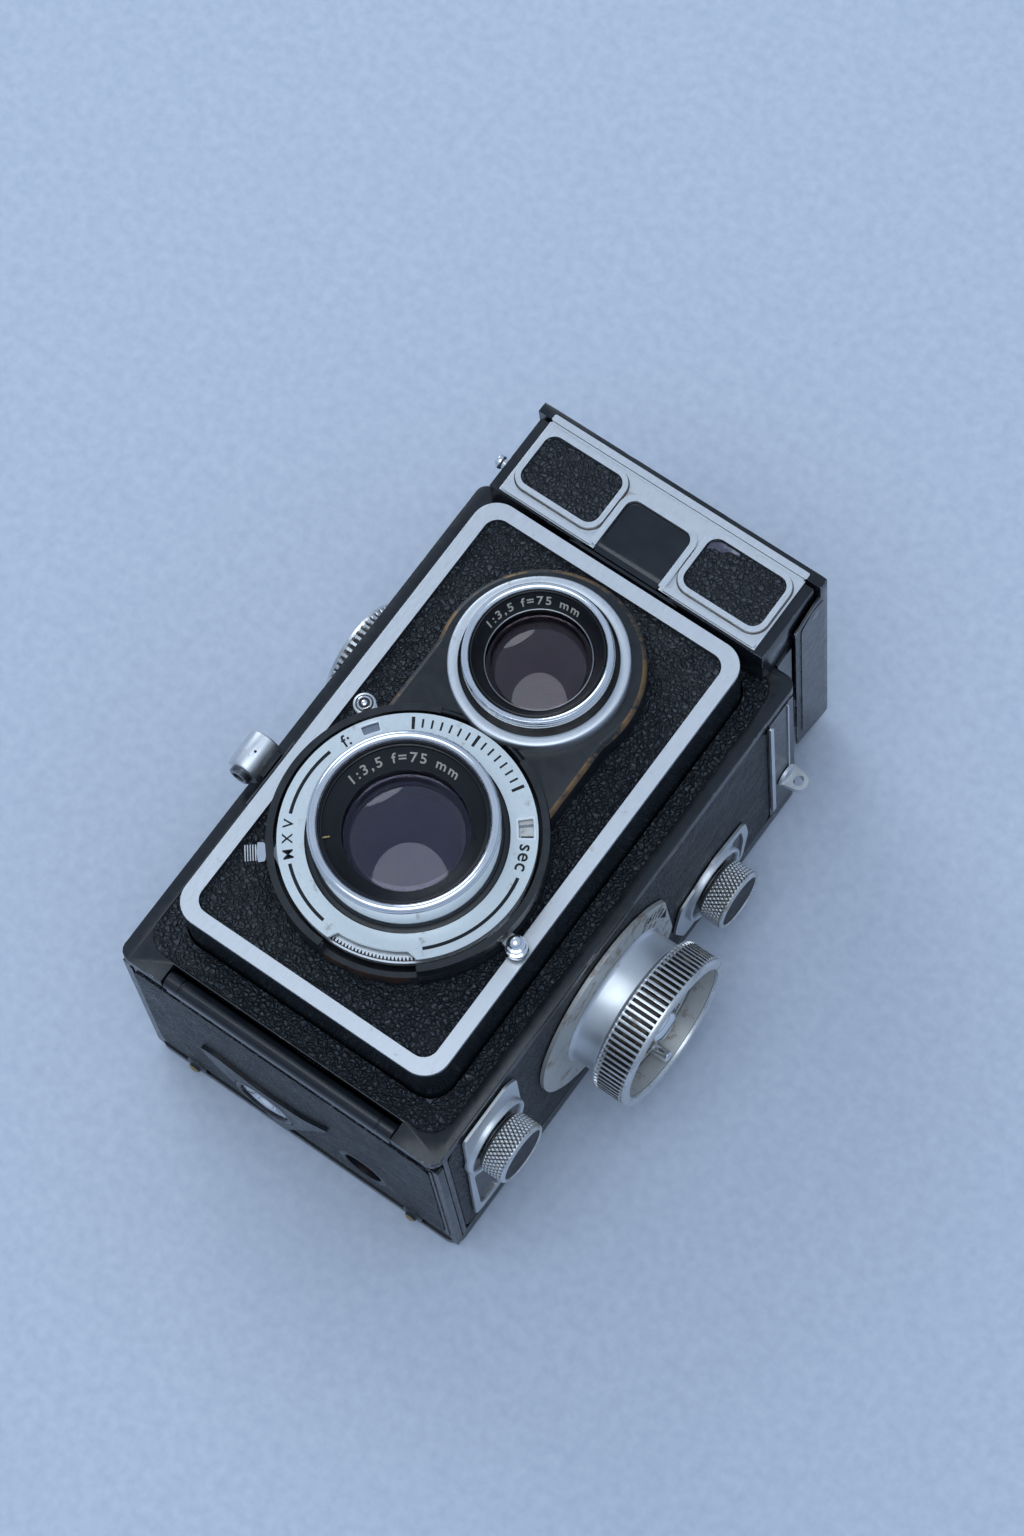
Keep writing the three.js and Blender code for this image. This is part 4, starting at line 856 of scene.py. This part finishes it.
def build_taking_lens():
    top = span("taking_bezel")[5]
    bezel = [(16.7, 80.6), (18.8, 80.6), (18.8, 81.5), (18.55, 81.9), (18.55, 88.2), (18.8, 88.5), (18.8, 89.1),
             (18.5, 89.65), (18.0, top), (17.4, 89.85), (17.0, 89.5), (16.7, 88.9)]
    piece("taking_rim", lathe(bezel, "z", TAKE, 200), "standard", "chrome", ["taking_bezel"])
    ring = [(18.85, 79.9), (20.2, 79.9), (20.2, 80.7), (19.8, 81.0), (18.85, 81.0)]
    piece("taking_base_ring", lathe(ring, "z", TAKE, 160), "standard", "anodised", (), 0.1, 2)
    names = [(12.6, 62), (16.4, 62), (16.4, 87.6), (16.1, 87.7), (15.9, 87.4), (14.9, 86.7), (12.9, 84.4),
             (12.6, 84.2)]
    piece("taking_inner_ring", lathe(names, "z", TAKE, 128), "standard", "anodised", ["taking_name_ring"])
    thread = [(16.0, 87.6), (16.65, 87.6), (16.65, 88.6), (16.4, 88.8), (16.3, 88.2), (16.05, 88.1)]
    piece("taking_thread", lathe(thread, "z", TAKE, 160), "standard", "anodised")
    lettering("taking_engraving", "1:3,5 f=75 mm", 3.1, "standard", "pale_ink", TAKE, 14.3, 128, 86.05, 48,
              spacing=1.3)
    lens_stack("taking", TAKE, 12.45, span("taking_lens")[5] - 0.4, "taking", "taking_lens", 13.5)
    scratch = sector(TAKE, 14.6, 16.0, -136.2, -135.0, 2)
    piece("taking_index", prism([scratch], 87.1, 87.5), "standard", "brass")
    cell = span("rear_lens_cell")
    rear = [(0, cell[2])] + [(12 * k / 8, cell[2] + 2.2 * (k / 8) ** 2) for k in range(1, 9)]
    rear += [(12.2, cell[2] + 2.3), (12.2, cell[5]), (0, cell[5])]
    piece("rear_glass", lathe(rear, "z", TAKE, 96), "standard", "taking_inner", ["rear_lens_cell"])
    mount = [(12.3, cell[2] + 2.0), (14, cell[2] + 1.2), (16, cell[2] + 2.4), (16, cell[5]), (12.3, cell[5])]
    piece("rear_mount", lathe(mount, "z", TAKE, 96), "standard", "anodised", (), 0.15, 2)


def build_shutter():
    r, back, top = HOUSING[3], 72.55, HOUSING[5]
    cup = [(20, 73.8), (26.5, 73.8), (26.5, top - 0.25), (26.7, top), (r - 0.5, top), (r, top - 0.6), (r, back),
           (20, back)]
    notch = prism([sector(TAKE, 25.4, 30, -91, -50.3, 20)], 76.95, 90)
    slots = [prism([sector(TAKE, 25.5, 30, start, end, 20)], 74.7, 76.9)
             for start, end in ((APERTURE_AT - 42, APERTURE_AT + 19), (COCKING_AT - 7, COCKING_AT + 45),
                                (SYNC_AT - 16, SYNC_AT + 16))]
    relief = prism([circle(VIEW, 18.2, 96)], 78.9, 90)
    housing = carved(lathe(cup, "z", TAKE, 200), notch, relief, *slots)
    piece("shutter_case", housing, "standard", "satin_enamel", ["shutter_housing"], 0.16, 2, "worn")
    barrel = [(17.2, 60.4), (20, 60.4), (20, 80.2), (17.2, 80.2)]
    piece("shutter_barrel", lathe(barrel, "z", TAKE, 120), "standard", "inside", (), 0.2, 2)
    for name, start, end in (("shutter_lip", 112, 268), ("shutter_lip_right", -50, 70)):
        lip = prism([sector(TAKE, 26.3, 27.75, start, end, 90)], top - 0.5, top + 0.28)
        piece(name, lip, "standard", "satin_enamel", (), 0.3, 4, "brass_edge")
    wall = sector(TAKE, 26.6, 27.65, -90.5, -50.8, 24)
    piece("shutter_notch_wall", prism([wall], 73, 76.9), "standard", "worn", (), 0.3, 3, "worn")

    # The faceplate has two windows and a shallow step above the serrated speed ring.
    low, high = FACE[2] - 0.05, FACE[5]
    ring_r = FACE[3]
    step = arc(TAKE, ring_r, -49.5, 269.3, 150)
    step += [p for p in softened([step[-1], *arc(TAKE, 23.6, -88.5, -53.5, 24), step[0]], 0.9, 4)[6:-6]]
    # Each window: the cut-out, the outline of its frame and the frame's opening, as radii and angles.
    windows = {
        "aperture": ((22.5, 24.6, 139.2, 148.8), (22.2, 24.9, 138.9, 149.1), (22.65, 24.45, 139.8, 148.2)),
        "speed": ((21.4, 24.9, 32.4, 43.4), (21.2, 25.1, 32.0, 43.8), (21.7, 24.6, 33.2, 42.6)),
    }
    cutouts = [softened(sector(TAKE, *edges[0], 8), 0.4, 2) for edges in windows.values()]
    face = prism([step, circle(TAKE, 20.1, 120), *cutouts], low, high)
    piece("faceplate", face, "standard", "face", ["shutter_faceplate"], 0.12, 3)
    for name, (_, outline, hole) in windows.items():
        loops = [softened(sector(TAKE, *outline, 8), 0.4, 2), softened(sector(TAKE, *hole, 8), 0.3, 2)]
        frame_line = prism(loops, high - 0.25, high + 0.05)
        piece(f"{name}_window_frame", frame_line, "standard", "turned", (), 0.06, 2)
    piece("aperture_scale", prism([sector(TAKE, 22, 25, 137, 151, 12)], low - 0.35, low - 0.05), "standard",
          "scale_painted_shade")
    piece("speed_scale", prism([sector(TAKE, 21, 25.2, 30, 46, 12)], low - 0.35, low - 0.05), "standard", "cream")
    lettering("speed_number", "1", 3.6, "standard", "black_ink", TAKE, 23.2, 34.2, low - 0.05)
    piece("speed_line", prism([sector(TAKE, 21.3, 25, 39.2, 40.6, 4)], low - 0.05, low), "standard", "steel")
    for i, (start, end) in enumerate(((166.6, 203.5), (229, 262.5), (-46.5, 12.6))):
        line = sector(TAKE, 23.05, 23.75, start, end, 60)
        piece(f"face_line_{i}", prism([line], high - 0.02, high + 0.02), "standard", "black_ink")
    for name, text, at, size in (("v", "V", 208.6, 2.9), ("x", "X", 216.2, 2.9), ("m", "M", 224.2, 2.9),
                                 ("f", "f:", 157.2, 3.6), ("sec", "sec", 23.0, 4.1)):
        lettering("face_" + name, text, size, "standard", "black_ink", TAKE, 23.3, at, high, spacing=1.1)
    for i in range(15):
        turn = 59 + 4.6 * i
        half, reach = (0.8, 1.3) if i % 7 == 0 else (0.5, 0.9)
        mark = sector(TAKE, 23.4 - reach, 23.4 + reach, turn - half, turn + half, 3)
        piece(f"face_tick_{i}", prism([mark], high - 0.02, high + 0.02), "standard", "black_ink")

    speed_box = span("speed_ring")
    level = speed_box[5]
    band = prism([circle(TAKE, 25.35, 200), circle(TAKE, 20.4, 120)], speed_box[2], level - 0.55)
    piece("speed_band", band, "speed_ring", "turned", ["speed_ring"], 0.15, 3)
    # A thin near-black ring under the teeth: a painted shadow in the gap.
    gap = prism([circle(TAKE, 24.95, 200), circle(TAKE, 20.4, 120)], level - 0.56, level - 0.46)
    piece("speed_gap_shadow", gap, "speed_ring", "painted_shade")
    teeth = toothed(TAKE, 24.85, 24.2, 210, 0.62)
    piece("serrated_ring", prism([teeth, circle(TAKE, 20.4, 120)], level - 0.47, level - 0.1), "speed_ring", "turned")


def lever(name, at, tip, depth=(75.0, 76.6), bevel=0.25):
    """A lever's arm: a foot inside the shutter, then the tip's outline."""
    arm = [polar(TAKE, 21.2, at - 7), polar(TAKE, 25.8, at - 7), *tip, polar(TAKE, 25.8, at + 7),
           polar(TAKE, 21.2, at + 7)]
    piece(name + "_arm", prism([arm], *depth), name + "_lever", "satin", [name + "_lever"], bevel, 3)


def build_controls():
    at = COCKING_AT
    end = polar(TAKE, 30.8, at)
    tip = [polar(TAKE, 26.2, at - 3), polar(TAKE, 29, at - 4.4), *arc(end, 2.25, at - 90, at + 90, 12),
           polar(TAKE, 29, at + 3.6), polar(TAKE, 26.2, at + 2)]
    lever("cocking", at, tip, bevel=0.3)
    for name, finish, profile in (
            ("base", "satin", [(0, 76.5), (2.3, 76.5), (2.3, 76.85), (2.1, 77.0), (0, 77.0)]),
            # A near-black disc in the groove between ring and hub: painted shade.
            ("groove", "painted_shade", [(0, 76.95), (1.85, 76.95), (1.85, 77.04), (0, 77.04)]),
            ("ring", "chrome", [(1.1, 76.98), (1.55, 76.98), (1.5, 77.3), (1.32, 77.4), (1.15, 77.3)]),
            ("hub", "chrome", [(0, 76.98), (0.62, 76.98), (0.58, 77.35), (0.3, 77.5), (0, 77.52)])):
        piece("cocking_button_" + name, lathe(profile, "z", end, 64), "cocking_lever", finish)

    along = Vector(polar((0, 0), 1, SYNC_AT))
    across = Vector((-along[1], along[0]))

    def outline(*points):
        """Points given by their distance from the taking axis and their offset across the lever."""
        return [tuple(Vector(TAKE) + along * a + across * c) for a, c in points]

    def bar(near, far, half):
        return outline((near, -half), (far, -half), (far, half), (near, half))

    lever("sync", SYNC_AT, bar(26.4, 29, 1))
    wedge = softened(outline((28.2, -1.9), (29.6, -2.1), (29.9, 0), (29.6, 2.1), (28.2, 1.9), (27.9, 0)), 0.3)
    piece("sync_wedge", prism([wedge], 74.9, 77.2), "sync_lever", "chrome", (), 0.25, 3)
    for i in range(5):
        near = 29.9 + 0.52 * i
        piece(f"sync_rib_{i}", prism([bar(near, near + 0.26, 1.7)], 74.9, 77.1), "sync_lever", "satin", (), 0.08, 2)
    # The core between the ribs is painted dark as shade.
    piece("sync_core", prism([bar(29.2, 32.1, 1.45)], 75.0, 76.5), "sync_lever", "painted_shade", (), 0.2, 2)

    at = APERTURE_AT
    lever("aperture", at, [polar(TAKE, 26.4, at - 3), polar(TAKE, 29.4, at - 3.2), polar(TAKE, 29.4, at + 3.2),
                           polar(TAKE, 26.4, at + 3)])
    end = polar(TAKE, 30, at)
    knob = [(0, 74.9), (2.35, 74.9), (2.45, 75.6), (2.3, 76.3), (1.75, 76.5), (1.7, 76.9), (2.0, 77.3), (1.9, 77.8),
            (1.35, 78.0), (1.3, 78.3), (1.55, 78.7), (1.4, 79.3), (0.9, 79.8), (0, 80.0)]
    knob = piece("aperture_knob", lathe(knob, "z", end, 64), "aperture_lever", "chrome")
    # The necks between the knob's tiers are painted dark as shade.
    shade_below(knob, "z", end, 1.95, "painted_shade", (76.35, 77.2))
    shade_below(knob, "z", end, 1.5, "painted_shade", (77.85, 78.65))

    y0, y1 = -18.8, -10.5
    barrel = [(0, y0 - 0.02), (2.9, y0 - 0.02), (3.45, y0 + 0.15), (3.7, y0 + 0.7), (3.7, y1 - 0.35), (3.4, y1),
              (0, y1)]
    dot = lathe([(0, 66), (0.28, 66), (0.28, 71), (0, 71)], "z", (RELEASE[0] + 0.6, -14.6), 16)
    piece("release_barrel", carved(lathe(barrel, "y", RELEASE, 96), dot), "shutter_release", "satin",
          ["shutter_release"], 0.08, 2)

    def threaded(angle, along, r):
        return 0.12 * math.cos(TAU * along / 0.36 + angle) if 2.2 < r < 2.4 and along < -18.9 else 0

    stem = [(1.3, -18.7), (2.3, -18.7)] + [(2.3, -18.9 - 0.06 * i)
                                           for i in range(18)] + [(2.0, -20.1), (1.5, -20.1), (1.3, -19.9)]
    piece("release_socket", lathe(stem, "y", RELEASE, 48, threaded), "shutter_release", "steel")
    piece("release_socket_floor", lathe([(0, -18.9), (1.35, -18.9), (1.35, -18.7), (0, -18.7)], "y", RELEASE, 32),
          "shutter_release", "inside")
    slide = prism([softened([(-37.3, 64.8), (-34.7, 64.8), (-34.7, 67.2), (-37.3, 67.2)], 0.4)], -17.5, -11.5, "xz")
    piece("release_slide", slide, "shutter_release", "enamel", (), 0.2, 2)


# ---------- film transport and back ----------
def build_inside():
    for node, centre in (("takeup_spool", UPPER), ("supply_spool", LOWER)):
        x0, x1 = span(node)[0], span(node)[3]
        end = [(2.6, 0), (12.1, 0), (12.5, 0.2), (12.5, 0.7), (12.1, 0.9), (6, 0.9)]
        profile = [(r, x0 + along) for r, along in end] + [(r, x1 - along) for r, along in reversed(end)]
        slot = prism([rounded(-24, 24, centre[1] - 0.6, centre[1] + 0.6, 0.4, 3)], centre[0] - 20, centre[0] + 20,
                     "xz")
        piece(node + "_reel", carved(lathe(profile, "x", centre, 96), slot), node, "spool", [node], 0.08, 2)
    for node in ("film_roller_top", "film_roller_bottom"):
        x0, y0, _, x1, y1, _ = span(node)
        r = (y1 - y0) / 2
        end = [(0, 0), (0.7, 0), (0.7, 1.3), (r, 1.3), (r, 6), (r * 0.9, 6.5)]
        profile = [(r, x0 + along) for r, along in end] + [(r, x1 - along) for r, along in reversed(end)]
        piece(node + "_shaft", lathe(profile, "x", axis_of(node, 1, 2), 64), node, "chrome", [node], 0.08, 2)
    dress("pressure_plate", "anodised", 0.15)
    dress("red_window", "red_glass", 0.1)
    dress("door_catch", "chrome", 0.2)


def build_door():
    x0, x1 = -HALF, HALF
    back = prism([rounded(x0, x1, -TOP, TOP, 3)], 0.35, 2.4)
    piece("door_panel", back, "back_door", "enamel", ["back_door"], 0.5, 3, "edge")
    covering = prism([rounded(x0 + 2.2, x1 - 2.2, -TOP + 3.5, TOP - 2.2, 4)], 0.02, 0.6)
    piece("door_leather", covering, "back_door", "leather", (), 0.2)
    for i, place in enumerate(((-20, -34), (-20, 6), (20, -34), (20, 6))):
        stud = [(0, 2.3), (1.2, 2.3), (1.2, 3.4), (1.0, 3.6), (0, 3.6)]
        piece(f"pressure_stud_{i}", lathe(stud, "z", place, 24), "back_door", "steel")

    tripod, window = axis_of("tripod_socket", 0, 2), axis_of("red_window", 0, 2)
    outline = softened([(x0, 1.2), (x1, 1.2), (x1, 54.4), (27.5, 54.4), (27.5, 55.6), (-27.5, 55.6), (-27.5, 54.4),
                        (x0, 54.4)], 0.5, 3)
    floor = prism([outline, circle(tripod, 6.1, 64), circle(window, 4.6, 64)], -TOP + 0.45, -TOP + 2.2, "xz")
    piece("door_floor", floor, "back_door", "enamel", (), 0.35, 3, "edge")
    skin = [rounded(x0 + 2.4, x1 - 2.4, 6.3, 52.6, 3), circle(tripod, 7.9, 64), circle(window, 5.2, 64)]
    piece("floor_leather", prism(skin, -TOP, -TOP + 0.6, "xz"), "back_door", "leather", (), 0.2)
    for x in (x0 + 1.6, x1 - 2.3):
        fold = prism([rounded(x, x + 0.7, 6, 53, 0.3, 3)], -TOP + 0.2, -TOP + 0.5, "xz")
        piece(f"floor_fold_{hand(x)}", fold, "back_door", "enamel", (), 0.1, 2)
    emboss = softened([(-23.3, 28.7), (-20, 22), (-9, 9.5), (-4, 5.8), (6, 24), (10.5, 31.5), (3, 26.6), (-8, 25.6),
                       (-19, 29.4)], 2.2, 6)
    piece("floor_emboss", prism([emboss, circle(tripod, 7.4, 64)], -TOP - 0.9, -TOP + 0.3, "xz"), "back_door",
          "satin_enamel", (), 0.7, 5)
    ring = raised(-TOP, (5.9, -0.7), (6.3, -1.0), (7.2, -0.9), (7.9, 0.5), (5.9, 0.8))
    piece("tripod_surround", lathe(ring, "y", tripod, 80), "back_door", "enamel")
    disc = raised(-TOP, (0, 0.2), (2.7, 0.2), (3.0, -0.45), (3.4, -0.6), (5.4, -0.6), (5.8, -0.3), (5.8, 2.1),
                  (0, 2.1))
    slot = prism([rounded(tripod[0] - 4.6, tripod[0] + 4.6, tripod[1] - 0.55, tripod[1] + 0.55, 0.4, 3)], -TOP - 2,
                 -TOP, "xz")
    piece("tripod_disc", carved(lathe(disc, "y", tripod, 80), slot), "back_door", "chrome", ["tripod_socket"], 0.1, 2)
    frame_ring = raised(-TOP, (4.5, 0.1), (5.1, -0.15), (5.9, 0), (6.0, 0.6), (4.5, 0.9))
    piece("window_surround", lathe(frame_ring, "y", window, 80), "back_door", "satin_enamel")

    hinge = (DOOR[1] + 1.5 + 1.85, 57.4)
    end = [(0.95, 28), (1.7, 28), (1.9, 27.8), (1.9, 24.6), (1.7, 24.5), (1.7, 24.2), (1.9, 24.1)]
    tube = [(r, -along) for r, along in end] + list(reversed(end))
    piece("hinge_tube", lathe(tube, "x", hinge, 64), "back_door", "enamel", (), 0.06, 2, "edge")
    leaf = prism([rounded(-27.5, 27.5, 54.3, 57.0, 0.3, 3)], -TOP + 0.15, -60.7, "xz")
    piece("hinge_leaf", leaf, "back_door", "enamel", (), 0.1, 2)
    for x in (-35.7, 35.7):
        nut = [(0.82, x - 0.5), (1.25, x - 0.5), (1.35, x), (1.25, x + 0.5), (0.82, x + 0.5)]
        piece(f"hinge_pin_end_{hand(x)}", lathe(nut, "x", hinge, 32), "body", "steel")
    for x in (-28, 28):
        foot = raised(-TOP, (0, -1.48), (0.7, -1.4), (1.2, -1.1), (1.5, -0.5), (2.4, -0.1), (2.6, 0.6), (0, 0.6))
        foot = piece(f"foot_{hand(x)}", lathe(foot, "y", (x, 4.4), 48), "back_door", "enamel")
        shade_below(foot, "y", (x, 4.4), 1.25, "brass", (-TOP - 2, -TOP - 0.5))


build_body()
build_lugs()
build_focus_side()
build_spool_knobs()
build_wind_knob()
build_hood()
build_board()
build_viewing_lens()
build_taking_lens()
build_shutter()
build_controls()
build_inside()
build_door()


# ---------- studio ----------
def cloth_floor():
    s = Shader("studio_floor")
    tone = s.blend(s.ramp(s.noise(2.5, 5), 0.3, 0.7), (0.52, 0.58, 0.68), (0.60, 0.66, 0.75))
    s.put(Base_Color=tone, Roughness=0.9, Specular_IOR_Level=0.2)
    return s.material


def build_studio():
    mesh = bpy.data.meshes.new("floor")
    mesh.from_pydata([(-4, -4, -0.0003), (4, -4, -0.0003), (4, 4, -0.0003), (-4, 4, -0.0003)], [], [(0, 1, 2, 3)])
    mesh.materials.append(cloth_floor())
    floor = bpy.data.objects.new("floor", mesh)
    scene.collection.objects.link(floor)

    world = bpy.data.worlds.new("soft_sky")
    scene.world = world
    world.use_nodes = True
    tree = world.node_tree
    sky = tree.nodes["Background"]
    coordinates = tree.nodes.new("ShaderNodeTexCoord")
    split = tree.nodes.new("ShaderNodeSeparateXYZ")
    ramp = tree.nodes.new("ShaderNodeValToRGB")
    bands = ((0.0, (0.22, 0.29, 0.42)), (0.35, (0.50, 0.63, 0.85)), (0.75, (0.62, 0.77, 1.0)),
             (1.0, (0.50, 0.64, 0.86)))
    while len(ramp.color_ramp.elements) < len(bands):
        ramp.color_ramp.elements.new(0.5)
    for stop, (position, colour) in zip(ramp.color_ramp.elements, bands):
        stop.position, stop.color = position, (*colour, 1)
    tree.links.new(coordinates.outputs["Generated"], split.inputs[0])
    tree.links.new(split.outputs["Z"], ramp.inputs[0])
    tree.links.new(ramp.outputs[0], sky.inputs["Color"])
    sky.inputs["Strength"].default_value = 0.69

    for name, place, size, power in (("softbox", (0.13, -0.33, 1.85), 1.5, 11),
                                     ("window", (-1.6, 0.9, 1.0), 1.4, 12)):
        light = bpy.data.lights.new(name, "AREA")
        light.shape, light.size, light.energy, light.color = "DISK", size, power, (0.84, 0.92, 1.0)
        lamp = bpy.data.objects.new(name, light)
        lamp.location = place
        lamp.rotation_euler = (Vector((0, 0, 0)) - Vector(place)).to_track_quat("-Z", "Y").to_euler()
        scene.collection.objects.link(lamp)

    camera = bpy.data.cameras.new("camera")
    camera.lens, camera.sensor_width, camera.sensor_fit = 106.58, 36, "AUTO"
    camera.clip_start = 0.01
    eye = bpy.data.objects.new("camera", camera)
    scene.collection.objects.link(eye)
    turn = Matrix.Rotation(0.268687, 3, "Y") @ Matrix.Rotation(0.255094, 3, "X") @ Matrix.Rotation(0.649163, 3, "Z")
    eye.matrix_world = Matrix.Translation((0.23596, -0.21500, 0.90692)) @ turn.to_4x4()
    scene.camera = eye
    scene.view_settings.view_transform = "Standard"
    scene.view_settings.look = "None"


build_studio()
